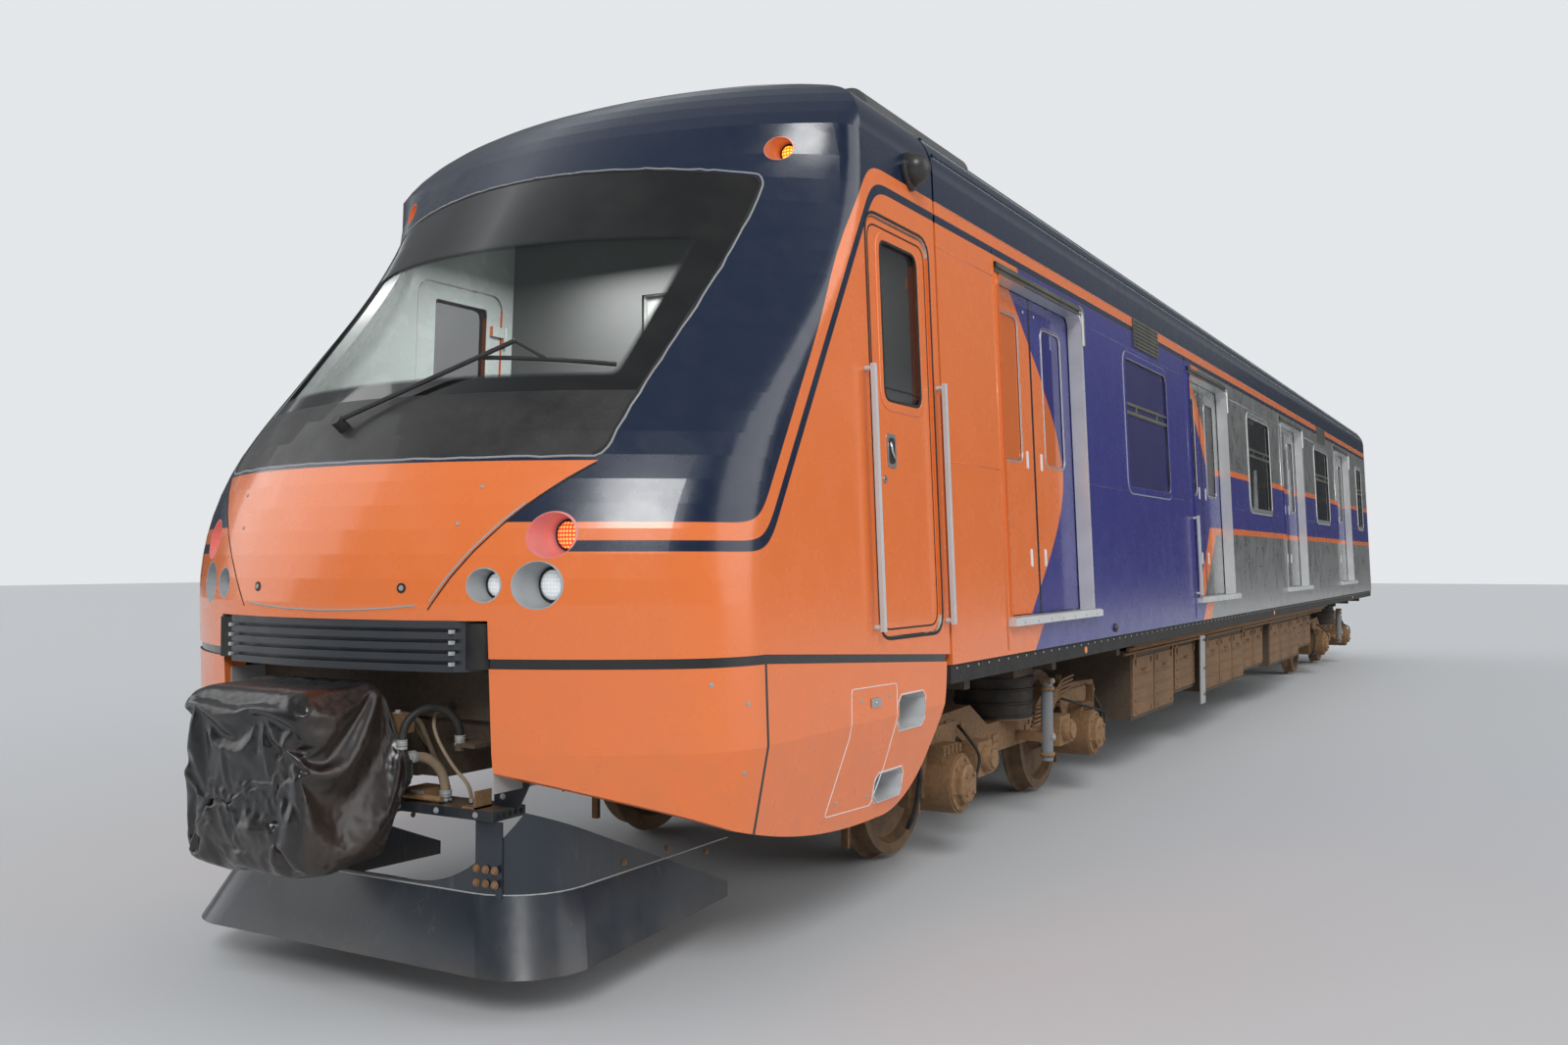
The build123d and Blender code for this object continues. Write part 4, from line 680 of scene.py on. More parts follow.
def weather(finish, colour, amount=1.0):
    """Lets dust gather on a coat of paint, low down and in streaks."""
    runs = finish.noise(5.0, 5.0, 0.6, (1.0, 1.0, 0.06))
    colour = finish.dusted(runs, 0.52, 0.78, 0.0, 0.035 * amount, colour, (0.20, 0.16, 0.13))
    low = finish.height().spread(0.6, 1.5, 0.14 * amount, 0.0)
    patches = finish.noise(8.0, 6.0).spread(0.35, 0.7, 0.1, 1.0)
    return finish.blend(low * patches, colour, (0.22, 0.17, 0.12))


def glossy_coat(finish, rough=(0.20, 0.32), steel=None):
    """The gloss of coach paint, with brushed lines where it is bare steel."""
    value = finish.noise(7.0, 5.0, 0.6).spread(0.3, 0.7, *rough)
    if steel is not None:
        lines = finish.noise(16.0, 4.0, 0.6, (0.4, 0.4, 30))
        value = value + steel * lines.spread(0.3, 0.7, 0.0, 0.14)
        finish.put(Metallic=steel)
    finish.bump(finish.noise(0.8, 1.0), 0.005, 0.04)
    return finish.put(Roughness=value)


def coach_paint(name, with_side):
    """The livery, on the nose alone or with the side's fields."""
    finish = Finish(name, Coat_Weight=0.5, Coat_Roughness=0.16, IOR=1.5)
    colour, steel = paint_livery(finish, with_side)
    finish.put(Base_Color=weather(finish, colour))
    return glossy_coat(finish, steel=steel)


def hatch_paint():
    finish = Finish("hatch_paint", Coat_Weight=0.5, Coat_Roughness=0.08, IOR=1.5)
    finish.put(Base_Color=weather(finish, ORANGE))
    return glossy_coat(finish, (0.22, 0.34))


def skirt_paint():
    """Orange lower panels with black joints along the top and down the side."""
    finish = Finish("skirt_paint", Coat_Weight=0.5, Coat_Roughness=0.08, IOR=1.5)
    x, s, h = finish.place()
    top = 1.300 - (s + 1.834).most(0.0) * 0.0605
    joint = (h - top).over(-0.037).most(s.within(-1.843, -1.826) * abs(x).over(1.2))
    pocket = 0.0
    for (s0, s1), (h0, h1) in POCKETS:
        from_s, from_h = abs(s - (s0 + s1) / 2), abs(h - (h0 + h1) / 2)
        half_s, half_h = (s1 - s0) / 2, (h1 - h0) / 2
        corner = half_s + half_h - POCKET_CUT - from_s - from_h
        pocket = (half_s - from_s).least(half_h - from_h).least(corner).over(-0.001, 0.001) + pocket
    body = finish.blend(pocket, weather(finish, ORANGE, 1.2), (0.50, 0.51, 0.52))
    finish.put(Base_Color=finish.blend(joint, body, (0.008, 0.008, 0.009)))
    return glossy_coat(finish, (0.24, 0.4))


def leaf_paint():
    """Sliding leaves: livery or bare steel, a pane, and a rubber edge."""
    finish = Finish("leaf_paint", Coat_Weight=0.5, Coat_Roughness=0.05, IOR=1.5)
    s, h = finish.place()[1:]
    colour, steel = paint_livery(finish)
    along = abs(door_station(s))
    half, low, high = LEAF_WINDOW
    glass = (half - abs(along - LEAF_MIDDLE)).least(h - low, 0.04).least(high - h, 0.04).over(0.003)
    film = 1.0 - s.over(3.0)
    seen = finish.blend(film, (0.012, 0.014, 0.016), finish.blend(0.12, colour, (0.01, 0.01, 0.01)))
    edge = 1.0 - along.over(0.017)
    shade = finish.blend(glass, weather(finish, colour, 0.6), seen)
    rough = finish.noise(7.0, 5.0).spread(0.3, 0.7, 0.22, 0.34)
    finish.bump(finish.noise(0.9, 1.0), 0.005, 0.10)
    return finish.put(
        Base_Color=finish.blend(edge, shade, (0.012, 0.012, 0.013)),
        Alpha=1.0 - glass * film.spread(0.0, 1.0, 0.42, 0.10),
        Metallic=steel * (1.0 - glass) * (1.0 - edge),
        Roughness=rough * (1.0 - glass * 0.85),
    )


def doorway_frame():
    """Doorway frames: painted or dark in front; at the rear jamb and sill, bare steel made pale as a painted
    reflection.
    """
    finish = Finish("doorway_frame", Roughness=0.3, Coat_Weight=0.2, Metallic=0.35)
    s, h = finish.place()[1:]
    rear = door_station(s).over(0.70).most(1.0 - h.over(DOOR_SILL + 0.012))
    film = finish.noise(4.0, 5.0)
    # Painted reflection: the rear jamb and sill are made pale, as they look where they catch the light.
    bright = finish.dusted(film, 0.35, 0.7, 0.0, 0.4, (0.74, 0.75, 0.76), (0.50, 0.49, 0.47))
    return finish.put(Base_Color=finish.blend(rear, paint_livery(finish)[0], bright))


def cab_door_paint():
    """Cab doors: the coach livery with a dark pane set in it."""
    finish = Finish("cab_door_paint", Coat_Weight=0.55, Coat_Roughness=0.06, IOR=1.5)
    s, h = finish.place()[1:]
    (s0, s1), (low, high) = CAB_PANE
    glass = (s - s0).least(s1 - s, 0.03).least(h - low, 0.03).least(high - h, 0.03).over(0.0)
    colour = weather(finish, paint_livery(finish, False)[0])
    rough = finish.noise(7.0, 5.0).spread(0.3, 0.7, 0.22, 0.32)
    finish.bump(finish.noise(1.6, 2.0), 0.006, 0.22)
    return finish.put(
        Base_Color=finish.blend(glass, colour, (0.010, 0.012, 0.014)),
        Alpha=1.0 - glass * 0.55,
        Roughness=rough * (1.0 - glass * 0.8),
    )


def saloon_glass():
    """Tinted panes; the first on each side is under the blue film."""
    finish = Finish("saloon_glass", IOR=1.5, Coat_Weight=0.7, Coat_Roughness=0.03)
    film = 1.0 - finish.station().over(FILM_END)
    smear = finish.noise(3.0, 5.0, 0.6)
    return finish.put(
        Base_Color=finish.blend(film, (0.014, 0.017, 0.018), (0.045, 0.042, 0.16)),
        Alpha=smear.spread(0.3, 0.7, 0.52, 0.66) + film * 0.26,
        Roughness=smear.spread(0.3, 0.7, 0.03, 0.09),
    )


def painted(name, colour, rough, dirt, dirty, coat=0.0):
    """Plain coat of paint with a dusty, uneven film."""
    finish = Finish(name, Coat_Weight=coat, Coat_Roughness=0.15)
    film = finish.noise(1.7, 6.0, 0.6)
    value = finish.noise(9.0, 4.0).spread(0.3, 0.7, rough, rough + 0.22)
    finish.bump(finish.noise(120.0, 3.0), 0.001, 0.2)
    return finish.put(Base_Color=finish.dusted(film, 0.35, 0.72, 0.0, dirty, colour, dirt), Roughness=value)


def grime(finish, colour, dust, amount):
    """Brown brake dust, thick on top and in patches, over a colour."""
    film = finish.noise(2.6, 8.0, 0.62)
    grain = finish.noise(38.0, 4.0, 0.7)
    up = finish.facing()[2].spread(-0.2, 0.9, 0.0, 0.35)
    share = film.spread(0.25, 0.6, amount * 0.55, amount) + up
    shade = finish.blend(finish.math("MINIMUM", share, 1.0), colour, dust)
    finish.put(Roughness=grain.spread(0.3, 0.7, 0.72, 0.95))
    finish.bump(finish.noise(60.0, 6.0, 0.65), 0.004, 0.35)
    finish.bump(finish.cells(180.0), 0.0015, 0.2)
    return finish.dusted(grain, 0.4, 0.8, 0.0, 0.55, shade, (0.045, 0.03, 0.02))


def dusty_iron(name, colour, dust, amount):
    """Rough cast or welded iron under brown brake dust."""
    finish = Finish(name)
    return finish.put(Base_Color=grime(finish, colour, dust, amount))


def underframe_iron():
    """Dusty floor frame, with the dark grey strip along each side."""
    finish = Finish("underframe_iron")
    x, s, h = finish.place()
    iron = grime(finish, (0.03, 0.028, 0.026), (0.13, 0.085, 0.05), 0.6)
    strip = abs(x).over(1.47, 0.003) * h.over(1.02) * s.over(0.0)
    film = finish.noise(6.0, 5.0)
    grey = finish.dusted(film, 0.35, 0.7, 0.05, 0.3, (0.016, 0.017, 0.018), (0.08, 0.065, 0.05))
    return finish.put(Base_Color=finish.blend(strip, iron, grey))


def bogie_gear_iron(pivot):
    """Dusty running gear with black air springs and blue-grey dampers."""
    finish = Finish("bogie_gear_iron")
    x, s, h = finish.place()
    iron = grime(finish, *BOGIE_IRON)
    spring = (1.0 - across(abs(x) - SPRING_X, s - pivot).over(0.254)) * h.over(0.665)
    damper = 1.0 - across(abs(x) - DAMPER_X, s - (pivot + DAMPER_S)).over(0.040)
    coarse, fine = finish.noise(6.0, 5.0), finish.noise(9.0, 5.0)
    black = finish.dusted(coarse, 0.35, 0.7, 0.1, 0.5, (0.012, 0.012, 0.013), (0.10, 0.07, 0.045))
    blue = finish.dusted(fine, 0.35, 0.7, 0.1, 0.6, (0.16, 0.20, 0.24), (0.24, 0.17, 0.11))
    return finish.put(Base_Color=finish.blend(damper, finish.blend(spring, iron, black), blue))


def stainless():
    """Steel brushed along the car, with a faint haze."""
    finish = Finish("stainless", Metallic=1.0)
    lines = finish.noise(14.0, 4.0, 0.6, (40, 40, 1.5))
    haze = finish.noise(3.0, 4.0)
    finish.bump(lines, 0.0004, 0.15)
    return finish.put(
        Base_Color=finish.dusted(haze, 0.35, 0.7, 0.0, 0.3, (0.62, 0.62, 0.61), (0.40, 0.38, 0.36)),
        Roughness=lines.spread(0.3, 0.7, 0.26, 0.42),
    )


def rubber(name, colour, rough, dust_colour, dusty):
    """Rubber with dust in patches."""
    finish = Finish(name, Specular_IOR_Level=0.35)
    dust = finish.noise(6.0, 6.0, 0.65)
    finish.bump(finish.noise(220.0, 3.0), 0.0008, 0.25)
    return finish.put(
        Base_Color=finish.dusted(dust, 0.4, 0.75, 0.0, dusty, colour, dust_colour),
        Roughness=dust.spread(0.3, 0.7, rough - 0.1, rough + 0.14),
    )


def wheel_steel():
    """Rusty brown steel of wheels, discs and axles."""
    finish = Finish("wheel_steel", Metallic=0.25)
    rust = finish.noise(9.0, 8.0, 0.65)
    finish.bump(finish.noise(70.0, 5.0), 0.002, 0.3)
    return finish.put(
        Base_Color=finish.dusted(rust, 0.3, 0.7, 0.0, 1.0, (0.085, 0.05, 0.03), (0.24, 0.145, 0.075)),
        Roughness=rust.spread(0.3, 0.7, 0.6, 0.85),
    )


# Clear part of the windshield inside its printed border
CLEAR_HALF = 0.95
CLEAR_LOW = 2.40
CLEAR_HIGH = 3.06
CLEAR_ROUND = 0.05


def windshield_glass():
    """Clear in the middle, with a black printed border round it."""
    finish = Finish("windshield_glass", IOR=1.5, Coat_Weight=0.6, Coat_Roughness=0.02)
    x, _, h = finish.place()
    inside = (CLEAR_HALF - abs(x)).least(h - CLEAR_LOW, CLEAR_ROUND).least(CLEAR_HIGH - h, CLEAR_ROUND)
    clear = inside.over(0.0, 0.012)
    dust = finish.noise(4.0, 6.0)
    border = finish.dusted(dust, 0.4, 0.8, 0.0, 0.25, (0.003, 0.003, 0.0035), (0.05, 0.045, 0.04))
    return finish.put(
        Base_Color=finish.blend(clear, border, (0.02, 0.026, 0.026)),
        Alpha=clear.spread(0.0, 1.0, 1.0, 0.16),
        Roughness=dust.spread(0.35, 0.75, 0.04, 0.14),
    )


def moulded_panel(name, colour, rough):
    """Plastic or filled resin with a fine grain."""
    finish = Finish(name)
    film = finish.noise(2.0, 5.0)
    finish.bump(finish.noise(420.0, 2.0), 0.0006, 0.3)
    return finish.put(
        Base_Color=finish.dusted(film, 0.35, 0.75, 0.0, 0.18, colour, (0.35, 0.33, 0.30)),
        Roughness=finish.noise(12.0, 3.0).spread(0.3, 0.7, rough, rough + 0.15),
    )


def bulkhead_panel():
    """Grey inside the car, black where it fills the joint behind the mask."""
    finish = Finish("bulkhead_panel", Roughness=0.6)
    film = finish.noise(2.0, 5.0)
    grey = finish.dusted(film, 0.35, 0.75, 0.0, 0.2, (0.42, 0.44, 0.43), (0.3, 0.28, 0.25))
    joint = finish.station().within(-0.0125, 0.0115)
    return finish.put(Base_Color=finish.blend(joint, grey, (0.008, 0.008, 0.009)))


def black_panel():
    """The black apron under the windshield, grey with dust where it lies flat."""
    finish = Finish("black_panel", Coat_Weight=0.15)
    dust = finish.noise(5.0, 7.0, 0.65)
    fine = finish.noise(70.0, 3.0)
    share = dust.spread(0.3, 0.75, 0.10, 0.55) * fine.spread(0.3, 0.7, 0.6, 1.0)
    finish.bump(fine, 0.0006, 0.2)
    return finish.put(
        Base_Color=finish.blend(share, (0.008, 0.008, 0.009), (0.07, 0.065, 0.06)),
        Roughness=dust.spread(0.3, 0.7, 0.38, 0.63),
    )


def slate_paint(name, tan):
    """Dark blue-grey paint, scratched by ballast, with dust from below."""
    finish = Finish(name, Coat_Weight=0.35, Coat_Roughness=0.2)
    film = finish.noise(3.0, 6.0, 0.6)
    up = finish.facing()[2].spread(0.5, 0.95, 0.0, tan)
    low = finish.height().spread(0.13, 0.24, 0.20, 0.0)
    share = film.spread(0.4, 0.75, 0.0, tan * 0.3) + up + low * film.spread(0.3, 0.6, 0.2, 1.0)
    base = finish.blend(finish.math("MINIMUM", share, 1.0), (0.016, 0.023, 0.033), (0.20, 0.14, 0.09))
    scratch = finish.noise(26.0, 2.0, 0.5, (1.0, 1.0, 0.10))
    lines = scratch.within(0.615, 0.64, 0.004) * finish.noise(3.0, 2.0).over(0.5, 0.1)
    finish.bump(finish.noise(8.0, 3.0), 0.004, 0.3)
    return finish.put(
        Base_Color=finish.blend(lines * 0.08, base, (0.35, 0.37, 0.38)),
        Roughness=film.spread(0.3, 0.7, 0.28, 0.5),
    )


# Lamps on the nose: distance from the middle, height, radius, finish
LAMPS = (
    (0.725, 1.572, 0.045, "lamp_clear"),
    (0.913, 1.572, 0.060, "lamp_clear"),
    (0.946, 1.758, 0.054, "lamp_signal"),
    (1.140, 3.527, 0.036, "lamp_signal"),
)
LENS_WAVE = 210.0
AMBER_ABOVE = 2.6


def lamp_bowl():
    """Grey moulded bowls, with the red and amber light of the lamps in them painted on as colour and a faint
    glow.
    """
    finish = Finish("lamp_silver", Coat_Weight=0.3, Coat_Roughness=0.15)
    h = finish.height()
    film = finish.noise(1.7, 6.0, 0.6)
    grey = finish.dusted(film, 0.35, 0.72, 0.0, 0.2, (0.40, 0.41, 0.42), (0.3, 0.28, 0.26))
    amber = h.over(AMBER_ABOVE)
    lamp = h.within(1.666, AMBER_ABOVE) + amber
    # tint is the colour of the lamps' light, painted onto the bowl and made to glow faintly, though the bowl
    # is no lamp.
    tint = finish.blend(amber, (0.62, 0.16, 0.15), (0.55, 0.12, 0.03))
    lit = lamp * finish.noise(14.0, 3.0).spread(0.3, 0.7, 0.7, 0.95)
    return finish.put(
        Base_Color=finish.blend(lit, grey, tint),
        Emission_Color=tint,
        Emission_Strength=lamp * 0.22,
        Roughness=film.spread(0.3, 0.7, 0.30, 0.45),
    )


def lens_grid(finish):
    """Rows of small round lenses: 0 in their middles, 1 between them."""
    x, _, h = finish.place()
    waves = finish.math("SINE", x * LENS_WAVE) * finish.math("SINE", h * LENS_WAVE)
    return 1.0 - abs(waves)


def clear_lens():
    """The headlamps' ribbed lenses, lit from behind."""
    finish = Finish("lamp_clear", Roughness=0.12, IOR=1.5, Coat_Weight=0.7, Coat_Roughness=0.05)
    spots = lens_grid(finish)
    finish.bump(spots.spread(0.0, 0.6, 1.0, 0.0), 0.002, 0.5)
    return finish.put(
        Base_Color=finish.dusted(spots, 0.1, 0.6, 0.0, 0.6, (0.62, 0.66, 0.68), (0.9, 0.9, 0.9)),
        Emission_Color=(0.9, 0.95, 1.0),
        Emission_Strength=spots.spread(0.05, 0.55, 0.5, 0.175),
    )


def signal_lens():
    """Red tail lenses low on the nose and amber marker lenses above."""
    finish = Finish("signal_lens", Roughness=0.15, Coat_Weight=0.7, Coat_Roughness=0.05)
    spots = lens_grid(finish)
    lit = spots.spread(0.1, 0.7, 1.0, 0.10)
    red = finish.blend(lit, (0.62, 0.02, 0.02), (1.0, 0.28, 0.05))
    amber = finish.blend(lit, (0.9, 0.22, 0.01), (1.0, 0.48, 0.06))
    colour = finish.blend(finish.height().over(AMBER_ABOVE), red, amber)
    finish.bump(spots.spread(0.0, 0.6, 1.0, 0.0), 0.002, 0.4)
    strength = lit.spread(0.0, 1.0, 0.7, 3.0)
    return finish.put(Base_Color=colour, Emission_Color=colour, Emission_Strength=strength)


def coated_cloth():
    """Black coated cloth, shiny where it is stretched and dusty low down."""
    finish = Finish("coated_cloth", Specular_IOR_Level=0.6, Coat_Weight=0.35, Coat_Roughness=0.25)
    dust = finish.noise(6.0, 7.0, 0.65)
    # Faces that look to the car's left are made lighter brown, as are those low down.
    low = finish.height().spread(0.5, 0.75, 0.25, 0.0) + finish.facing()[0].spread(0.55, 0.9, 0.0, 0.40)
    share = dust.spread(0.35, 0.75, 0.0, 0.10) + low * dust.spread(0.3, 0.65, 0.5, 1.0)
    share = finish.math("MINIMUM", share, 1.0)
    finish.bump(finish.noise(14.0, 4.0, 0.6), 0.004, 0.25)
    finish.bump(finish.noise(900.0, 1.0), 0.0003, 0.35)
    return finish.put(
        Base_Color=finish.blend(share, (0.005, 0.005, 0.006), (0.06, 0.038, 0.026)),
        Roughness=dust.spread(0.3, 0.7, 0.22, 0.40),
    )


# Paints: name, colour, roughness, dirt, how dirty, clear coat
PAINTS = (
    ("roof_grey", (0.075, 0.080, 0.088), 0.4, (0.2, 0.16, 0.12), 0.35, 0.2),
    ("dome_plastic", (0.018, 0.019, 0.021), 0.35, (0.12, 0.1, 0.08), 0.25, 0.2),
    ("dark_slats", (0.05, 0.052, 0.05), 0.4, (0.2, 0.19, 0.13), 0.5, 0.0),
    ("anticlimber_paint", (0.022, 0.028, 0.037), 0.35, (0.10, 0.08, 0.07), 0.2, 0.2),
    ("pale_metal", (0.36, 0.37, 0.37), 0.38, (0.26, 0.21, 0.16), 0.35, 0.0),
    ("amber_lens", (0.80, 0.28, 0.02), 0.2, (0.2, 0.15, 0.1), 0.15, 0.5),
    ("white_paint", (0.78, 0.79, 0.79), 0.35, (0.5, 0.45, 0.4), 0.25, 0.3),
    ("rail_steel", (0.55, 0.56, 0.57), 0.25, (0.4, 0.36, 0.3), 0.2, 0.4),
    ("sealant", (0.30, 0.31, 0.32), 0.6, (0.2, 0.19, 0.18), 0.5, 0.0),
)
# Irons: name, colour, dust, how dusty
BOGIE_IRON = ((0.055, 0.036, 0.025), (0.215, 0.115, 0.050), 0.92)
IRONS = (
    ("bogie_paint", *BOGIE_IRON),
    ("cast_coupler", (0.05, 0.05, 0.05), (0.15, 0.10, 0.06), 0.5),
    ("iron_dust", (0.07, 0.045, 0.03), (0.27, 0.150, 0.068), 0.92),
)
# Rubbers: name, colour, roughness, dust, how dusty
RUBBERS = (
    ("rubber", (0.014, 0.014, 0.015), 0.6, (0.11, 0.10, 0.09), 0.3),
    ("hose_rubber", (0.016, 0.017, 0.019), 0.5, (0.16, 0.12, 0.08), 0.35),
    ("tan_rubber", (0.20, 0.15, 0.10), 0.7, (0.36, 0.27, 0.18), 0.8),
)


def make_finishes():
    """Every material by name: the record's slots and the extra ones."""
    finishes = {
        "navy_paint": coach_paint("nose_paint", False),
        "orange_paint": skirt_paint(),
        "body_paint": coach_paint("side_paint", True),
        "tinted_glass": saloon_glass(),
        "windshield_glass": windshield_glass(),
        "black_panel": black_panel(),
        "grey_panel": moulded_panel("grey_panel", (0.50, 0.53, 0.52), 0.5),
        "lamp_silver": lamp_bowl(),
        "lamp_clear": clear_lens(),
        "lamp_signal": signal_lens(),
        "stainless": stainless(),
        "underframe_paint": underframe_iron(),
        "wheel_steel": wheel_steel(),
        "cover_cloth": coated_cloth(),
        "seat_shell": moulded_panel("seat_shell", (0.05, 0.07, 0.14), 0.4),
        "hatch_paint": hatch_paint(),
        "leaf_paint": leaf_paint(),
        "cab_door_paint": cab_door_paint(),
        "bulkhead_panel": bulkhead_panel(),
        "slate_paint": slate_paint("slate_paint", 0.25),
        "tray_paint": slate_paint("tray_paint", 0.7),
        "frame_painted_reflection": doorway_frame(),
        "front_gear": bogie_gear_iron(PIVOTS[0][1]),
        "rear_gear": bogie_gear_iron(PIVOTS[1][1]),
    }
    for make, table in ((painted, PAINTS), (dusty_iron, IRONS), (rubber, RUBBERS)):
        finishes.update({row[0]: make(*row) for row in table})
    return finishes


# Nodes whose finish isn't that of their record slot as a whole
NODE_FINISH = {
    "front_hatch": "hatch_paint",
    "cab_bulkhead": "bulkhead_panel",
    "obstacle_deflector": "slate_paint",
    "coupler_beam": "tray_paint",
    "side_domes": "dome_plastic",
    "side_louvres": "dark_slats",
    "door_frames": "frame_painted_reflection",
    "rails_and_steps": "rail_steel",
    "cab_door_left": "cab_door_paint",
    "cab_door_right": "cab_door_paint",
    "anticlimber": "anticlimber_paint",
    "main_air_hose": "tan_rubber",
    "front_bogie_gear": "front_gear",
    "rear_bogie_gear": "rear_gear",
}


def dress_nodes(frame, finishes):
    """Gives each CAD node its finish: its own, or that of its record slot."""
    for name, node in frame["nodes"].items():
        slot = node.data.materials[0].name.split(".")[0]
        if name.endswith("_leaf"):
            slot = "leaf_paint"
        node.data.materials.clear()
        node.data.materials.append(finishes[NODE_FINISH.get(name, slot)])


def make_hoses(finishes):
    """The three free hoses between the car and the coupler, on their routes."""
    for node, length, diameter, stiffness, finish, points in HOSES:
        curve = bpy.data.curves.new(node + "_line", "CURVE")
        curve.dimensions = "3D"
        curve.bevel_depth = diameter / 2
        curve.bevel_resolution = 5
        spline = curve.splines.new("NURBS")
        spline.points.add(len(points) - 1)
        for point, spot in zip(spline.points, points):
            point.co = (*place(*spot), 1.0)
        spline.order_u = 3
        spline.use_endpoint_u = True
        spline.resolution_u = 12
        curve.materials.append(finishes[finish])
        hose = new_object(node + "_hose", curve)
        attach(hose, "body")
        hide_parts(node)
        start = list(place(*points[0]))
        ends = hose_ends(node, diameter, points).build(finishes)


def hose_ends(node, diameter, points):
    """Pressed ferrules and a hexagon at both ends of a hose."""
    ends = Piece(node + "_ends", "pale_metal")
    for tip, inner in ((points[0], points[1]), (points[-1], points[-2])):
        tip, inner = place(*tip), place(*inner)
        along = (inner - tip).normalized()
        ends.rod(tip, tip + along * diameter * 0.9, diameter * 0.62, 16)
        for step in (0.25, 0.5, 0.75):
            spot = tip + along * diameter * step
            ends.rod(spot, spot + along * 0.003, diameter * 0.66, 16)
        ends.rod(tip - along * 0.008, tip + along * 0.002, diameter * 0.72, 6)
    return ends


def window_trim():
    """Frames, gaskets and the two bars of the hinged upper lights."""
    frames = Piece("window_frames", "stainless")
    film_frames = Piece("window_frames_front", "body_paint")
    beads = Piece("window_edges", "pale_metal")
    gaskets = Piece("window_gaskets", "rubber")
    bars = Piece("window_bars", "dark_slats")
    heights = (WINDOW_LOW, WINDOW_HIGH)
    for side in SIDES:
        for middle, half in window_spans():
            span = around(middle, half)
            inner = grown(span, -0.022)
            target = film_frames if middle < FILM_END else frames
            target.wall_ring(span, heights, 0.08, 0.055, 0.006, side)
            beads.wall_bead(grown(span, 0.028), grown(heights, 0.028), 0.1, 0.0035, side)
            gaskets.wall_ring(inner, grown(heights, -0.022), 0.06, 0.022, 0.011, side, 0.013)
            for h, thick in ((2.830, 0.010), (2.765, 0.012)):
                bars.wall_box(inner, around(h, thick), (-0.016, -0.003), side)
            for share in (0.25, 0.75):
                s = inner[0] + (inner[1] - inner[0]) * share
                bars.wall_box(around(s, 0.02), (2.775, 2.825), (-0.016, -0.006), side)


def doorway_trim():
    """Rubber gutter, corner cover, screws and sill ribs round each doorway."""
    gutters = Piece("door_gutters", "dark_slats")
    covers = Piece("door_corners", "stainless")
    screws = Piece("door_screws", "pale_metal")
    sills = Piece("sill_ribs", "stainless")
    head, over, sill = DOOR_HEAD, DOOR_HEAD + 0.02, (DOOR_SILL + 0.008, DOOR_SILL + 0.0105)
    for side in SIDES:
        normal = wall_normal(side)
        for centre in door_centres():
            front, rear = around(centre, DOOR_HALF)
            for low, high, out in ((0.004, 0.018, 0.022), (0.022, 0.036, 0.016), (-0.020, 0.040, 0.010)):
                gutters.wall_box((front - 0.03, rear - 0.06), (head + low, head + high), (-0.004, out), side)
            edge = rear + 0.005
            corner = rounded([(rear - 0.08, over), (edge, over), (edge, head - 0.22)], 0.09, 8)
            points = [wall_point(p.x, p.y, 0.0, side) for p in corner]
            covers.strip(points, [normal] * len(points), 0.055, 0.020)
            for h in (1.45, 1.9, 2.35, 2.8):
                for s in (front + 0.012, rear - 0.012):
                    screws.dome(wall_point(s, h, 0.006, side), normal, 0.006, 0.003)
            for step in range(7):
                s = front + 0.1 + step * (2 * DOOR_HALF - 0.2) / 6
                screws.dome(wall_point(s, DOOR_SILL - 0.022, 0.048, side), normal, 0.008, 0.003)
            for out in (0.010, 0.020, 0.030, 0.040):
                sills.wall_box((front + 0.02, rear - 0.02), sill, around(out, 0.002), side)


def leaf_trim():
    """Pane beads, pulls and locks on the sliding leaves, low enough to pass."""
    half, *heights = LEAF_WINDOW
    for number, centre in enumerate(door_centres(), 1):
        for side, side_name in SIDE_NAMES:
            normal = wall_normal(side)
            for toward, end in ((-1, "front"), (1, "rear")):
                body = f"door_{number}_{side_name}_{end}_leaf"
                beads = Piece(body + "_bead", "stainless", body)
                pulls = Piece(body + "_pulls", "white_paint", body)
                span = around(centre + toward * LEAF_MIDDLE, half)
                beads.wall_bead(grown(span, 0.012), grown(heights, 0.012), 0.07, 0.0028, side, LEAF_DEPTH)
                pane = grown(span, -0.004), grown(heights, -0.004)
                beads.wall_ring(*pane, 0.055, 0.010, 0.0025, side, LEAF_DEPTH)
                s = centre + toward * 0.13
                for h in (1.68, 2.28):
                    pulls.wall_plate(around(s, 0.017), around(h, 0.055), 0.017, 0.0032, side, LEAF_DEPTH)
                    for screw in (h + 0.040, h - 0.040):
                        pulls.dome(wall_point(s, screw, 0.0032 - LEAF_DEPTH, side), normal, 0.005, 0.0012)
                pulls.dome(wall_point(centre + toward * 0.10, 3.2, -LEAF_DEPTH, side), normal, 0.010, 0.003)


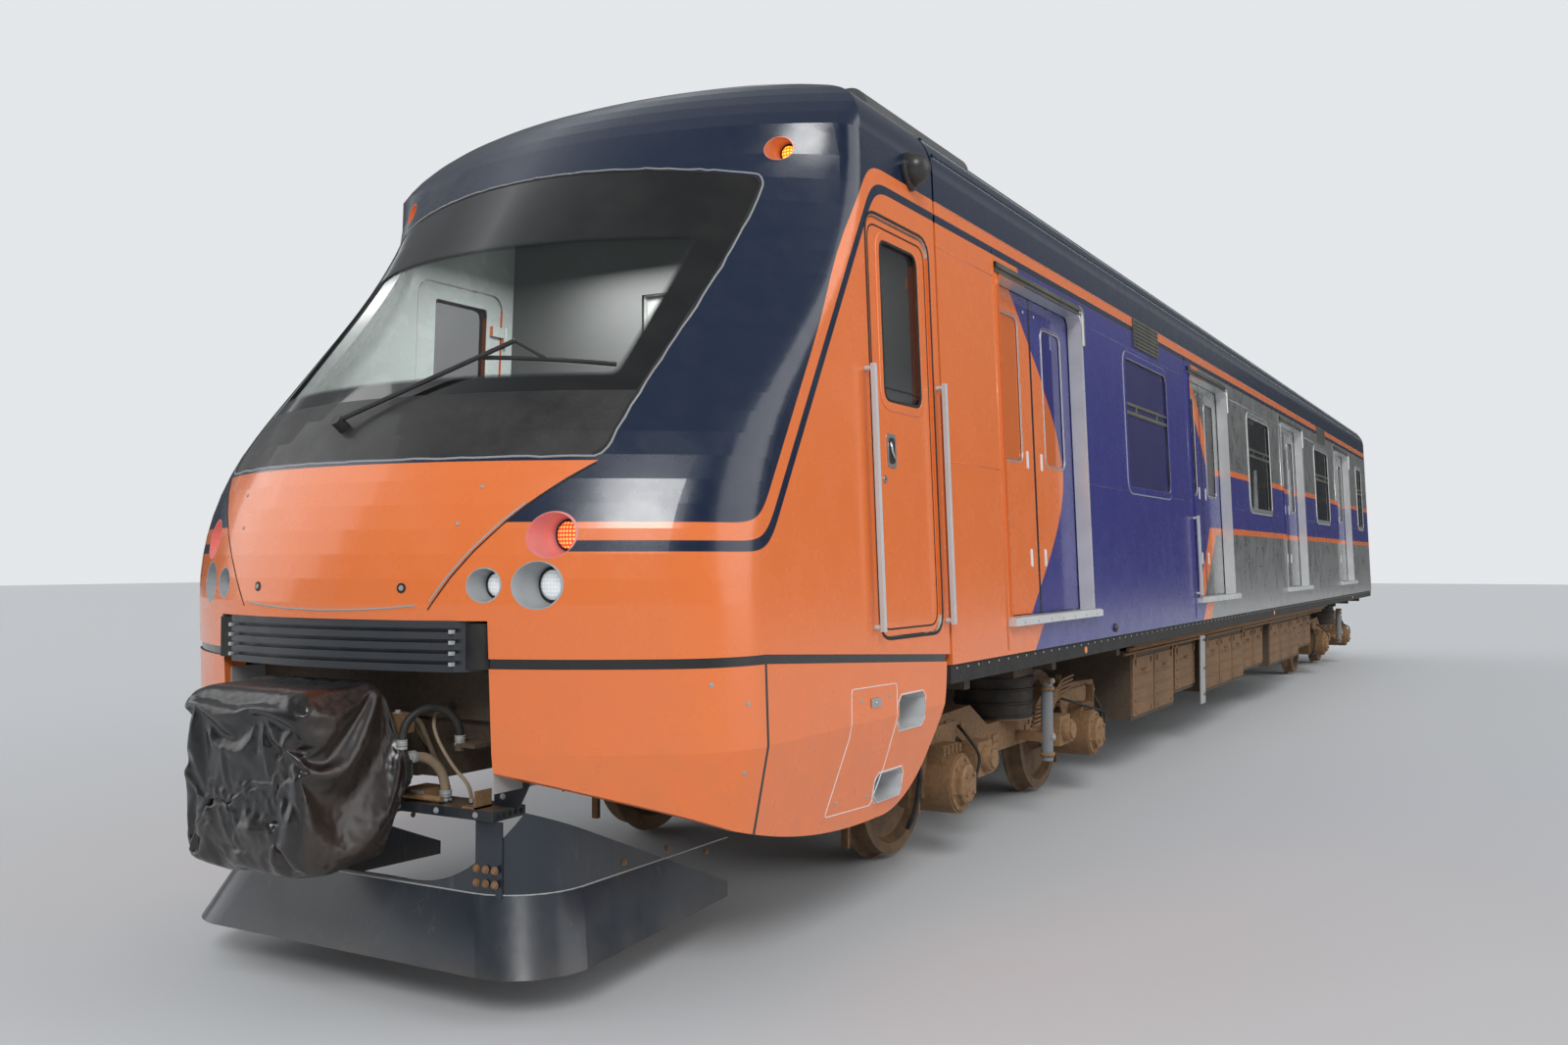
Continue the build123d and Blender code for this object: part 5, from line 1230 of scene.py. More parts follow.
def wall_seams():
    """Upright beads and long folds that divide the side into panels."""
    front_seams = Piece("panel_beads", "body_paint")
    seams = Piece("panel_beads_rear", "body_paint")
    lines = [
        (front_seams, 0.82, 0.82, BEAD_LOW, BEAD_HIGH, 0.0045),
        (front_seams, 0.02, 0.82, FOLD_H, FOLD_H, 0.0025),
        (front_seams, 0.02, 0.82, 3.27, 3.27, 0.0025),
        (seams, 0.02, CAR_REAR - 0.02, 3.505, 3.505, 0.004),
        (seams, 0.02, CAR_REAR - 0.02, 3.44, 3.44, 0.002),
        (seams, door_centres()[-1] + DOOR_HALF + 0.05, CAR_REAR - 0.05, FOLD_H, FOLD_H, 0.0025),
    ]
    for centre in door_centres()[:-1]:
        target = seams if centre > DOOR_FIRST else front_seams
        start, end = centre + DOOR_HALF + 0.05, centre + DOOR_PITCH - DOOR_HALF - 0.05
        window = around(centre + DOOR_PITCH / 2 + WINDOW_OFFSET, WINDOW_HALF + 0.04)
        lines.append((target, start, window[0], FOLD_H, FOLD_H, 0.0025))
        lines.append((target, window[1], end, FOLD_H, FOLD_H, 0.0025))
        lines.append((target, start, end, 3.255, 3.255, 0.0025))
        lines.append((seams, end - 0.07, end - 0.07, BEAD_LOW, BEAD_HIGH, 0.0045))
    for side in SIDES:
        for piece, s0, s1, h0, h1, thick in lines:
            ends = [wall_point(s0, h0, 0, side), wall_point(s1, h1, 0, side)]
            piece.tube(ends, thick, 6, [wall_normal(side)] * 2)


def sole_trim():
    """Rivets and reflectors on the strip under the walls, and a round cap."""
    rivets = Piece("sole_rivets", "pale_metal")
    caps = Piece("side_capsules", "dome_plastic")
    glows = Piece("side_reflectors", "amber_lens")
    for side in SIDES:
        for step in range(125):
            spot = place(side * SOLE_FACE, 0.09 + step * 0.15, 1.112)
            rivets.dome(spot, (side, 0, 0), 0.0065, 0.005, 6)
        caps.dome(wall_point(2.95, 1.19, 0, side), wall_normal(side), 0.03, 0.02, 14)
        for s in (2.28, 9.3, 16.3):
            glows.pin((SOLE_FACE, SOLE_FACE + 0.007), s, 1.075, 0.022, 16, side)


def roof_ribs(frame):
    """Long pressed ribs along the roof's shoulders and crown."""
    skin = Skin(frame, ["roof"])
    ribs = Piece("roof_ribs", "navy_paint")
    for x in (1.395, 1.33, 1.22, 1.08, 0.92, 0.70, 0.47, 0.23):
        for side in SIDES:
            starts = [place(side * x, s, 6.0) for s in (0.05, CAR_REAR - 0.05)]
            lay(ribs, [skin.hit(start, Vector((0, 0, -1))) for start in starts], 0.022, 0.009)


def roof_unit_trim():
    """Grilles, fan guards and bolts of the air conditioners."""
    grilles = Piece("roof_unit_grilles", "dark_slats")
    bolts = Piece("roof_unit_bolts", "pale_metal")
    up = Vector((0, 0, 1))
    for s0, s1, half, top, fans in ROOF_UNITS:
        middle, level = (s0 + s1) / 2, top + 0.004
        for side in SIDES:
            for step in range(int((s1 - s0 - 0.3) / 0.045)):
                s = s0 + 0.15 + step * 0.045
                grilles.box((half - 0.002, half + 0.006), (s, s + 0.022), (top - 0.19, top - 0.12), side)
            for s in (s0 + 0.06, middle, s1 - 0.06):
                bolts.bolt(place(side * (half - 0.20), s, top), up, 0.012, 0.01)
        for fan in fans:
            for radius in (0.24, 0.19, 0.14, 0.09, 0.04):
                ring = [place(x, middle + fan + s, level) for x, s in circle(24, radius)]
                grilles.tube(ring, 0.005, 5, [up] * 24, closed=True)
            for x, s in circle(6, 0.24):
                grilles.rod(place(0, middle + fan, level), place(x, middle + fan + s, level), 0.004, 5)
        for step in range(12):
            x = -half + 0.25 + step * (2 * half - 0.5) / 11
            grilles.box(around(x, 0.03), (s0 - 0.006, s0 + 0.002), (top - 0.10, top - 0.09))


def lamp_trim(frame):
    """Dark rims and domed lenses in front of the lamps."""
    front = Skin(frame, ["headlamps", "signal_lamps"])
    rims = Piece("lamp_rims", "rubber")
    lenses = {kind: Piece(kind + "_domes", kind) for kind in ("lamp_clear", "lamp_signal")}
    face = Vector((0, -1, 0))
    for x, h, radius, kind in LAMPS:
        for spot, _ in front.front([(x, h), (-x, h)]):
            ring = [spot + Vector((a, -0.004, b)) for a, b in circle(28, radius + 0.001)]
            rims.tube(ring, 0.007, 6, [face] * 28, closed=True)
            lenses[kind].dome(spot, face, radius * 0.93, 0.020, 28)


def screen_outline():
    """The windshield's outline at even steps, as (x, height) pairs."""
    low_half, low_h, top_half, top_h, crest = SCREEN
    across = (0.9, 0.6, 0.3, 0.0, -0.3, -0.6, -0.9)
    crown = [(x, crest - (crest - top_h) * (x / top_half) ** 2) for x in across]
    corners = [(-low_half, low_h), (low_half, low_h), (top_half, top_h), *crown, (-top_half, top_h)]
    line = flat(rounded(corners, 0.06, 4, closed=True))
    return spaced(line + line[:1], 0.05)[:-1]


def screen_seals(front, seal):
    """The black seal round the windshield and its hand-laid bead of sealant."""
    random.seed(4)
    edge = screen_outline()
    lay(seal, front.front([(x * 1.003, h) for x, h in edge]), 0.012, 0.003, closed=True)
    wavy = []
    for x, h in edge:
        spread_x = 1.010 + random.uniform(-0.002, 0.003)
        rise = (0.010 if h > 3.3 else -0.008) + random.uniform(-0.003, 0.003)
        wavy.append((x * spread_x, h + rise))
    lay(Piece("screen_sealant", "sealant"), front.front(wavy), 0.009, 0.003, closed=True)
    lay(seal, front.front([(-1.05 + 0.1 * i, 2.328) for i in range(22)]), 0.010, 0.003)


def flank_line(heights, radius):
    """Points on the arc of the orange panel's side edge, on the left."""
    return [(2.436 - math.sqrt(radius ** 2 - (h - 0.173) ** 2), h) for h in heights]


def nose_trim(frame):
    """Sealant, seals, fasteners and painted edge highlights on the front of the cab."""
    front = Skin(frame, ["cab_mask", "windshield", "windshield_apron", "front_hatch"])
    seal = Piece("screen_seal", "rubber")
    # silver holds pale strips that are painted highlights: along the hatch's lower edge, and along the
    # flank's edge on the left side only, where the light catches it.
    silver = Piece("nose_edge_highlights", "pale_metal")
    screws = Piece("hatch_screws", "pale_metal")
    screen_seals(front, seal)
    bow = [(x, 1.498 - 0.026 * (1 - (x / 0.49) ** 2)) for x in (-0.46, -0.35, -0.2, 0.0, 0.2, 0.35, 0.46)]
    for line in (bow, flank_line((1.51, 1.60, 1.70, 1.80, 1.88), 2.338)):
        lay(silver, front.front(spaced(line, 0.04)), 0.007, 0.0025)
    for side in SIDES:
        flank = [(side * x, h) for x, h in flank_line((1.48, 1.6, 1.7, 1.8, 1.9, 2.03), 2.326)]
        lay(seal, front.front(spaced(flank, 0.04)), 0.006, 0.002)
    for spot, normal in front.front([(0.66, 1.94), (-0.66, 1.94), (0.60, 1.80), (-0.60, 1.80)]):
        screws.dome(spot, normal, 0.008, 0.004)
    for spot, normal in front.front([(-0.40, 1.56), (0.40, 1.56)]):
        seal.rod(spot - normal * 0.003, spot + normal * 0.003, 0.019, 20)
        screws.bolt(spot + normal * 0.002, normal, 0.008, 0.005)


def dome_trim():
    """Slots and a pointed lower lip on the round vents beside the roof."""
    slots = Piece("dome_slots", "rubber")
    lips = Piece("dome_lips", "dome_plastic")
    lip = [(-0.372, 3.60), (-0.355, 3.545), (-0.282, 3.490), (-0.209, 3.545), (-0.192, 3.60)]
    for side in SIDES:
        for h in (3.555, 3.580, 3.605, 3.630):
            reach = math.sqrt(0.062 ** 2 - (h - 3.592) ** 2)
            slots.wall_box(around(-0.282, reach), around(h, 0.004), (0.040, 0.049), side)
        points = [wall_point(p.x, p.y, 0.004, side) for p in rounded(lip, 0.03)]
        lips.strip(points, [wall_normal(side)] * len(points), 0.030, 0.022)


def anticlimber_trim():
    """Bright square caps at the rib ends and a smooth block beside them."""
    caps = Piece("anticlimber_caps", "lamp_silver")
    blocks = Piece("anticlimber_blocks", "rubber")
    for side in SIDES:
        for h in (1.277, 1.317, 1.357, 1.397):
            caps.box((0.606, 0.622), (-2.604, -2.586), (h - 0.004, h + 0.010), side)
        blocks.box((0.640, 0.735), (-2.555, -2.43), (1.262, 1.430), side)


def cab_door_trim():
    """Seals on the mask, and the window bezel, cup and lock on each leaf."""
    seals = Piece("cab_door_seals", "rubber")
    depth = 0.010
    for side, side_name in SIDE_NAMES:
        body, normal = "cab_door_" + side_name, wall_normal(side)
        bezel = Piece(body + "_bezel", "hatch_paint", body)
        groove = Piece(body + "_grooves", "rubber", body)
        cup = Piece(body + "_cup", "stainless", body)
        # Painted shade, in a rubber finish: a dark plate in the cup's hollow and a dark dot in the middle of
        # the lock.
        dark = Piece(body + "_cup_inside", "rubber", body)
        for piece, span, heights, radius, width, proud, sunk in (
            (seals, (-0.817, -0.093), (1.303, 3.280), 0.095, 0.014, 0.004, 0.0),
            (groove, (-0.776, -0.134), (1.345, 3.228), 0.07, 0.008, 0.0025, depth),
            (bezel, (-0.681, -0.211), (2.386, 3.194), 0.075, 0.042, 0.006, depth),
            (groove, (-0.655, -0.237), (2.412, 3.168), 0.055, 0.014, 0.007, depth),
        ):
            piece.wall_ring(span, heights, radius, width, proud, side, sunk)
        groove.wall_box((-0.64, -0.25), (2.470, 2.474), (-0.016, -0.009), side)
        cup.wall_plate((-0.650, -0.552), (2.095, 2.255), 0.02, 0.004, side, depth)
        dark.wall_plate((-0.634, -0.568), (2.113, 2.237), 0.02, 0.0046, side, depth)
        grip = ((-0.620, 2.215), (-0.612, 2.175), (-0.582, 2.135))
        cup.tube([wall_point(s, h, 0.009 - depth, side) for s, h in grip], 0.007, 8, [normal] * 3)
        lock = wall_point(-0.686, 2.038, -depth, side)
        cup.rod(lock, lock + normal * 0.006, 0.017, 18)
        dark.rod(lock, lock + normal * 0.0066, 0.005, 10)


def skirt_trim(frame):
    """The flap, pocket rims and screws on the lower panels, and the notch's sides."""
    skin = Skin(frame, ["cab_skirts"])
    edges = Piece("skirt_edges", "white_paint")
    screws = Piece("skirt_screws", "pale_metal")
    cheeks = Piece("notch_cheeks", "pale_metal")
    lock = Piece("skirt_locks", "stainless")
    flap = flat(rounded(SKIRT_FLAP, 0.02, 4, closed=True))
    flap = spaced(flap + flap[:1], 0.04)[:-1]
    cut, grow = POCKET_CUT, 0.005
    for side in SIDES:
        cheeks.box((0.733, 0.739), (-2.50, -2.215), (0.80, 1.215), side)
        cheeks.box((0.729, 0.733), (-2.315, -2.305), (0.80, 1.215), side)
        lay(edges, skin.side(flap, side), 0.004, 0.0018, closed=True)
        for span, heights in POCKETS:
            (s0, s1), (h0, h1) = grown(span, grow), grown(heights, grow)
            octagon = [(s0 + cut, h0), (s1 - cut, h0), (s1, h0 + cut), (s1, h1 - cut)]
            octagon += [(s1 - cut, h1), (s0 + cut, h1), (s0, h1 - cut), (s0, h0 + cut)]
            lay(edges, skin.side(octagon, side), 0.005, 0.002, closed=True)
        for spot, normal in skin.side(SKIRT_SCREWS, side):
            screws.rod(spot - normal * 0.002, spot + normal * 0.0015, 0.010, 14)
            screws.dome(spot + normal * 0.001, normal, 0.006, 0.003, 6)
        lock.wall_box((-0.935, -0.835), (1.008, 1.048), (0.000, 0.003), side)
        lock.dome(wall_point(-0.885, 1.028, 0.003, side), wall_normal(side), 0.010, 0.004)


def deflector_trim():
    """A pale strip along the bend as a painted highlight, and bolts on the brackets."""
    edge = Piece("deflector_bend_highlight", "pale_metal")
    bolts = Piece("deflector_bolts", "iron_dust")
    half, nose, radius, bend = 0.885, -2.452, 0.290, 0.410
    turns = [math.radians(90 * step / 8) for step in range(9)]
    arc = [(half - radius + radius * math.cos(t), nose + radius - radius * math.sin(t)) for t in turns]
    plan = [(half, -1.12)] + arc
    plan += [(-x, s) for x, s in reversed(plan)]
    normals = []
    for x, s in plan:
        out = Vector((x - math.copysign(half - radius, x), min(0.0, s - nose - radius), 0))
        normals.append(out.normalized())
    # Painted highlight along the bend of the sheet.
    edge.strip([place(x, s, bend) for x, s in plan], normals, 0.006, 0.002)
    for side in SIDES:
        for x in (0.61, 0.655, 0.70):
            for h in (0.452, 0.505):
                bolts.bolt(place(side * x, nose, h), (0, -1, 0), 0.012, 0.010)
        for s, h in ((-1.30, 0.375), (-1.60, 0.45), (-1.90, 0.45)):
            bolts.bolt(place(side * half, s, h), (side, 0, 0), 0.011, 0.009)


def tray_trim():
    """Brackets, slotted angle and bolts round the tray under the coupler."""
    brown = Piece("tray_brackets", "iron_dust")
    pale = Piece("tray_bolts", "pale_metal")
    dark = Piece("tray_slots", "rubber")
    for side in SIDES:
        for x, h in ((0.640, 0.760), (0.690, 0.800), (0.740, 0.845)):
            pale.bolt(place(side * x, -2.342, h), (0, -1, 0), 0.009, 0.008)
        brown.box((0.53, 0.60), (-2.449, -2.36), (0.7225, 0.730), side)
        brown.box((0.592, 0.60), (-2.449, -2.36), (0.7225, 0.790), side)
        pale.bolt(place(side * 0.56, -2.40, 0.730), (0, 0, 1), 0.010, 0.009)
        for step in range(5):
            s = -2.43 + step * 0.032
            dark.box((0.686, 0.6915), (s, s + 0.016), (0.695, 0.712), side)
        for x in (0.20, 0.40, 0.60):
            pale.bolt(place(side * x, -2.450, 0.7025), (0, -1, 0), 0.009, 0.007)
    brown.box((0.20, 0.33), (-2.42, -2.30), (0.7225, 0.770))
    brown.pin((0.12, 0.42), -2.44, 0.745, 0.011, 10)
    pale.box((0.245, 0.305), (-2.432, -2.42), (0.732, 0.764))


def coupler_trim():
    """Valve blocks with their bolts, and rigid pipes along the coupler's shank."""
    pale = Piece("coupler_bolts", "pale_metal")
    pipes = Piece("coupler_pipes", "tan_rubber")
    blocks = Piece("coupler_blocks", "iron_dust")
    for x0, x1, s0, s1, h0, h1 in (
        (0.22, 0.31, -2.56, -2.48, 1.000, 1.075),
        (0.10, 0.17, -2.54, -2.47, 1.010, 1.065),
        (-0.31, -0.22, -2.56, -2.48, 0.990, 1.060),
    ):
        blocks.box((x0, x1), (s0, s1), (h0, h1))
        pale.bolt(place((x0 + x1) / 2, (s0 + s1) / 2, h1), (0, 0, 1), 0.012, 0.012)
        pale.bolt(place(x1, (s0 + s1) / 2, (h0 + h1) / 2), (1, 0, 0), 0.010, 0.010)
    for x, h, drop in ((0.16, 1.04, 0.10), (0.20, 1.06, 0.16), (0.25, 1.05, 0.22), (-0.26, 1.03, 0.15)):
        route = [(x, -2.50, h), (x, -2.40, h), (x + 0.02, -2.30, h - drop), (x + 0.02, -2.16, h - drop)]
        pipes.pipe(route, 0.011, 0.06)


def box_trim(lids, fixings, side, face, bottom, s0, s1):
    """Lid, ribs, latches, hinge pins and pull of one door on an underfloor box."""
    lids.box((face - 0.001, face + 0.012), (s0, s1), (bottom + 0.03, BOX_TOP), side)
    for s in (s0 + 0.08, s1 - 0.08):
        fixings.box((face + 0.012, face + 0.026), around(s, 0.016), (0.845, 0.885), side)
        fixings.pin((face + 0.012, face + 0.020), s, bottom + 0.06, 0.013, 10, side)
    for share in (0.3, 0.5, 0.7):
        h = bottom + (BOX_TOP - bottom) * share
        lids.box((face + 0.010, face + 0.018), (s0 + 0.05, s1 - 0.05), around(h, 0.006), side)
    near, far = around((s0 + s1) / 2, 0.05)
    pull = ((0.012, near), (0.045, near), (0.045, far), (0.012, far))
    fixings.tube(rounded([place(side * (face + out), s, 0.80) for out, s in pull], 0.012), 0.006, 6)


def underfloor_trim():
    """Pipes, lids, latches, hangers and end plates below the floor."""
    pipes = Piece("floor_pipes", "iron_dust")
    lids = Piece("box_lids", "bogie_paint")
    fixings = Piece("box_fixings", "iron_dust")
    plates = Piece("box_plates", "stainless")
    for side in SIDES:
        out = (side, 0, 0)
        for x, h, radius in ((1.385, 0.985, 0.016), (1.355, 0.945, 0.012), (1.430, 1.012, 0.010)):
            pipes.pipe([(x, 3.75, h), (x, 14.0, h)], radius, side=side)
        for s0, s1, face, bottom in FLOOR_BOXES:
            count = max(1, round((s1 - s0) / 0.65))
            wide = (s1 - s0) / count
            for step in range(count):
                start = s0 + step * wide
                box_trim(lids, fixings, side, face, bottom, start + 0.02, start + wide - 0.02)
            for s in (s0 + 0.05, s1 - 0.05):
                lids.box(around(face, 0.02), around(s, 0.025), (BOX_TOP, 1.0), side)
                fixings.bolt(place(side * (face + 0.02), s, 0.955), out, 0.012, 0.010)
        plates.box((1.362, 1.372), (6.24, 6.44), (0.34, 1.0), side)
        plates.box((1.33, 1.372), (6.435, 6.445), (0.34, 1.0), side)
        for h in (0.42, 0.66, 0.92):
            fixings.bolt(place(side * 1.372, 6.40, h), out, 0.011, 0.009)


def axle_box_trim(iron, side, axle):
    """Covers, bolts and ribs on the axle box, and the plate behind it."""
    face = AXLE_BOX_FACE
    for radius, thick in ((0.150, 0.012), (0.118, 0.020), (0.082, 0.030)):
        iron.pin((face - 0.004, face + thick), axle, AXLE_H, radius, 28, side)
    iron.bolt_circle((face + 0.012, axle, AXLE_H), 6, 0.134, 15, 0.011, 0.011, side)
    iron.plate(CHEEK, (1.138, 1.152), axle, side)
    lobes = circle(8, 0.115, 0.39)
    rings = []
    for out, share in ((0.0, 1.0), (0.045, 1.0), (0.055, 0.86)):
        rings.append([place(side * (face + out), axle + s * share, AXLE_H + h * share) for s, h in lobes])
    iron.skin(rings, smooth=False)
    iron.bolt_circle((face + 0.055, axle, AXLE_H), 4, 0.07, 45, 0.013, 0.012, side)
    for step in range(5):
        s = axle - 0.11 + step * 0.055
        iron.box((face - 0.058, face - 0.045), around(s, 0.007), (AXLE_H + 0.16, 0.636), side)


def brake_trim(iron, dark, side, axle, end):
    """Brake unit inside the axle, guard bracket and pipes outside it."""
    face, inward = AXLE_BOX_FACE, axle - end * 0.50
    iron.box((1.14, 1.25), around(inward, 0.11), (0.40, 0.60), side)
    iron.pin((1.20, 1.30), inward, 0.50, 0.075, 20, side)
    iron.pin((1.29, 1.315), inward, 0.50, 0.055, 20, side)
    iron.bolt_circle((1.30, inward, 0.50), 6, 0.064, 0, 0.007, 0.006, side)
    iron.box((1.138, 1.20), (axle + end * 0.33, axle + end * 0.345), (0.30, 0.74), side)
    iron.plate(((0, 0.56), (0.12, 0.70), (0, 0.74)), (1.16, 1.172), axle + end * 0.345, side)
    sand = ((1.19, 0.36, 0.66), (1.24, 0.40, 0.55), (1.22, 0.43, 0.34), (1.16, 0.40, 0.24))
    dark.pipe([(x, axle + end * s, h) for x, s, h in sand], 0.014, 0.08, side)
    sensor = [
        (face + 0.02, axle + 0.03, AXLE_H + 0.03),
        (face + 0.05, axle + 0.10, AXLE_H + 0.02),
        (face + 0.04, axle - end * 0.02 + 0.19, 0.56),
        (face - 0.08, axle - end * 0.26, 0.67),
        (1.145, axle - end * 0.34, 0.70),
    ]
    dark.pipe(sensor, 0.009, 0.07, side)
    for step in (0.20, 0.30, 0.40):
        iron.bolt(place(side * 1.135, axle - end * step, 0.70), (side, 0, 0), 0.012, 0.011)


def frame_trim(iron, bright, dark, side, pivot):
    """Pipes, plates, damper ends, spring rings and pads beside one pivot."""
    out = (side, 0, 0)
    for step in range(5):
        s, h = pivot + 0.35 + step * 0.02, 0.560 + step * 0.028
        run = ((1.150, 0, 0), (1.165, 0.16, 0.005), (1.165, 0.52, 0.150), (1.150, 0.82, 0.160))
        iron.pipe([(x, s + along, h + up) for x, along, up in run], 0.0085, 0.06, side)
    for x0, x1, s0, s1, h0, h1 in BOGIE_PLATES:
        iron.box((x0, x1), (pivot + s0, pivot + s1), (h0, h1), side)
    for x in (1.144, 1.160):
        for h in (0.67, 0.72, 0.77, 0.82):
            ends = [place(side * x, pivot + s, h) for s in (0.8985, 0.9075)]
            dark.rod(*ends, 0.005, 8)
    for h in (0.42, 0.84):
        damper = [place(side * DAMPER_X, pivot + DAMPER_S, level) for level in around(h, 0.012)]
        iron.rod(*damper, 0.050, 20)
    for x, s, h, radius, height in (
        (1.215, 0.61, 0.475, 0.014, 0.010),
        (1.372, DAMPER_S, 0.888, 0.014, 0.012),
        (1.3735, DAMPER_S, 0.53, 0.016, 0.013),
    ):
        bright.bolt(place(side * x, pivot + s, h), out, radius, height)
    for level in (0.675, 0.760, 0.845, 0.915):
        ring = [place(side * (SPRING_X + x), pivot + s, level) for x, s in circle(32, 0.251)]
        dark.tube(ring, 0.010, 6, [Vector((0, 0, 1))] * 32, closed=True)
    for s, h0, h1, bolt_h in FRAME_PADS:
        iron.box((1.133, 1.145), around(pivot + s, 0.045), (h0, h1), side)
        for spot in around(pivot + s, 0.022):
            iron.bolt(place(side * 1.145, spot, bolt_h), out, 0.009, 0.008)


def bogie_trim(body, pivot):
    """Brake pipes, covers, bolts and brackets on one bogie."""
    iron = Piece(body + "_fittings", "iron_dust", body)
    bright = Piece(body + "_bright_bolts", "pale_metal", body)
    dark = Piece(body + "_rubber", "rubber", body)
    for side in SIDES:
        for end in (-1, 1):
            axle = pivot + end * WHEELBASE / 2
            axle_box_trim(iron, side, axle)
            brake_trim(iron, dark, side, axle, end)
        frame_trim(iron, bright, dark, side, pivot)


# The bag over the coupler: half width, front, rear, heights, and the neck's
# end, half width and heights
BAG_HALF = 0.340
BAG_S = (-3.045, -2.670)
BAG_H = (0.550, 1.212)
NECK_S = -2.562
NECK_HALF = 0.390
NECK_H = (0.790, 0.950)
NECK_ROWS = 16
BAG_ROUND = 0.075
BAG_STEP = 0.015
HELD_REACH = BAG_STEP * 0.8
HANG_FRAMES = 34
DRAW_FRAMES = 16
CLOTH = {
    "quality": 7,
    "mass": 0.35,
    "tension_stiffness": 25.0,
    "compression_stiffness": 25.0,
    "shear_stiffness": 12.0,
    "bending_stiffness": 15.0,
    "air_damping": 2.0,
    "vertex_group_mass": "held",
    "shrink_min": -0.035,
}

# Where the front of the bag is creased: x, height, and how far it is drawn in
CREASES = (
    (-0.250, 1.125, 0.010),
    (0.120, 1.100, 0.018),
    (0.195, 0.980, 0.035),
    (0.190, 0.850, 0.062),
    (0.175, 0.720, 0.055),
    (0.310, 0.890, -0.004),
    (0.285, 0.740, -0.002),
    (0.180, 0.600, 0.008),
    (-0.075, 0.780, 0.072),
    (0.060, 0.850, 0.034),
    (-0.180, 0.765, 0.060),
    (0.140, 1.000, -0.002),
    (-0.080, 0.985, 0.000),
    (-0.305, 0.870, -0.002),
    (-0.265, 0.660, 0.045),
    (0.070, 0.690, -0.002),
    (-0.040, 0.620, 0.040),
)
# Where its lower hem is held: x and station
HEM = (
    (-0.30, -2.95),
    (0.00, -2.97),
    (0.28, -2.95),
    (-0.28, -2.74),
    (0.00, -2.72),
    (0.28, -2.74),
)
HEM_H = 0.548


def lattice_sleeve(counts):
    """Corners and faces of a box of squares with its rear side left open."""
    index, faces = {}, []
    for axis in range(3):
        u, v = (axis + 1) % 3, (axis + 2) % 3
        for end in (0, counts[axis]):
            if axis == 1 and end:
                continue
            for a in range(counts[u]):
                for b in range(counts[v]):
                    quad = []
                    for da, db in ((0, 0), (1, 0), (1, 1), (0, 1)):
                        spot = [0, 0, 0]
                        spot[axis], spot[u], spot[v] = end, a + da, b + db
                        quad.append(index.setdefault(tuple(spot), len(index)))
                    faces.append(quad if end else quad[::-1])
    return list(index), faces


def bag_shape(counts, body_rows, inset):
    """The bag's corners as it is first put on, or a shape inside it."""
    spots, faces = lattice_sleeve(counts)
    front, rear = BAG_S[0] + inset, BAG_S[1]
    points = []
    for i, j, k in spots:
        share = max(0.0, (j - body_rows) / (counts[1] - body_rows))
        turn = share * share * (3 - 2 * share)
        half = BAG_HALF + (NECK_HALF - BAG_HALF) * turn - inset
        low = BAG_H[0] + (NECK_H[0] - BAG_H[0]) * turn + inset
        high = BAG_H[1] + (NECK_H[1] - BAG_H[1]) * turn - inset
        s = front + (rear - front) * min(1.0, j / body_rows) + share * (NECK_S - rear)
        p = Vector(((2 * i / counts[0] - 1) * half, s, low + (high - low) * k / counts[2]))
        radius = min(BAG_ROUND, (high - low) / 2.2)
        core = Vector((
            max(-half + radius, min(half - radius, p.x)),
            max(front + radius, p.y),
            max(low + radius, min(high - radius, p.z)),
        ))
        away = p - core
        if away.length > 1e-6:
            p = core + away.normalized() * radius
        points.append(place(*p))
    return points, faces


def new_mesh(name, points, faces):
    mesh = bpy.data.meshes.new(name)
    mesh.from_pydata(points, [], faces)
    return new_object(name, mesh)


def make_bag(finishes):
    """The coated bag, hung on the coupler by a cloth simulation."""
    rows = round((BAG_S[1] - BAG_S[0]) / BAG_STEP)
    counts = (
        round(2 * BAG_HALF / BAG_STEP),
        rows + NECK_ROWS,
        round((BAG_H[1] - BAG_H[0]) / BAG_STEP),
    )
    points, faces = bag_shape(counts, rows, 0.0)
    random.seed(11)
    uneven = [p + Vector([random.uniform(-0.002, 0.002) for _ in range(3)]) for p in points]
    bag = new_mesh("coupler_bag", uneven, faces)
    bag.data.materials.append(finishes["cover_cloth"])
    hang_bag(bag)
    for polygon in bag.data.polygons:
        polygon.use_smooth = True
    soften = bag.modifiers.new("soften", "SUBSURF")
    soften.levels = soften.render_levels = 1
    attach(bag, "body")
    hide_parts("coupler_cover")
    strap = bag_strap().build(finishes)


def bag_strap():
    """A webbing strap round the bag's neck, with its buckle."""
    strap = Piece("bag_strap", "rubber")
    s = NECK_S - 0.028
    h0, h1 = NECK_H[0] - 0.004, NECK_H[1] + 0.004
    corners = [(-NECK_HALF, h0), (NECK_HALF, h0), (NECK_HALF, h1), (-NECK_HALF, h1)]
    loop = rounded([place(x, s, h) for x, h in corners], 0.08, 6, closed=True)
    middle = place(0, s, (h0 + h1) / 2)
    strap.strip(loop, [(p - middle).normalized() for p in loop], 0.025, 0.004, closed=True)
    strap.box((0.30, 0.35), (s - 0.017, s + 0.017), (h1 + 0.001, h1 + 0.009))
    return strap


def held_points(bag):
    """Corners of the bag that are held, each with how far it is drawn in."""
    held = {}
    top = place(0, 0, BAG_H[1]).z
    for vertex in bag.data.vertices:
        x, s, h = vertex.co.x, vertex.co.y + MID_STATION, vertex.co.z - RAIL_TOP
        at_neck = s > NECK_S - 0.035
        at_rear_top = s > BAG_S[1] - 0.03 and vertex.co.z > top - 0.05
        if at_neck or at_rear_top:
            held[vertex.index] = 0.0
        if s < BAG_S[0] + 0.05:
            for crease_x, crease_h, drawn in CREASES:
                if math.hypot(x - crease_x, h - crease_h) < HELD_REACH:
                    held[vertex.index] = drawn
        if h < HEM_H + 0.02:
            for hem_x, hem_s in HEM:
                if math.hypot(x - hem_x, s - hem_s) < HELD_REACH:
                    held[vertex.index] = 0.0
    return held


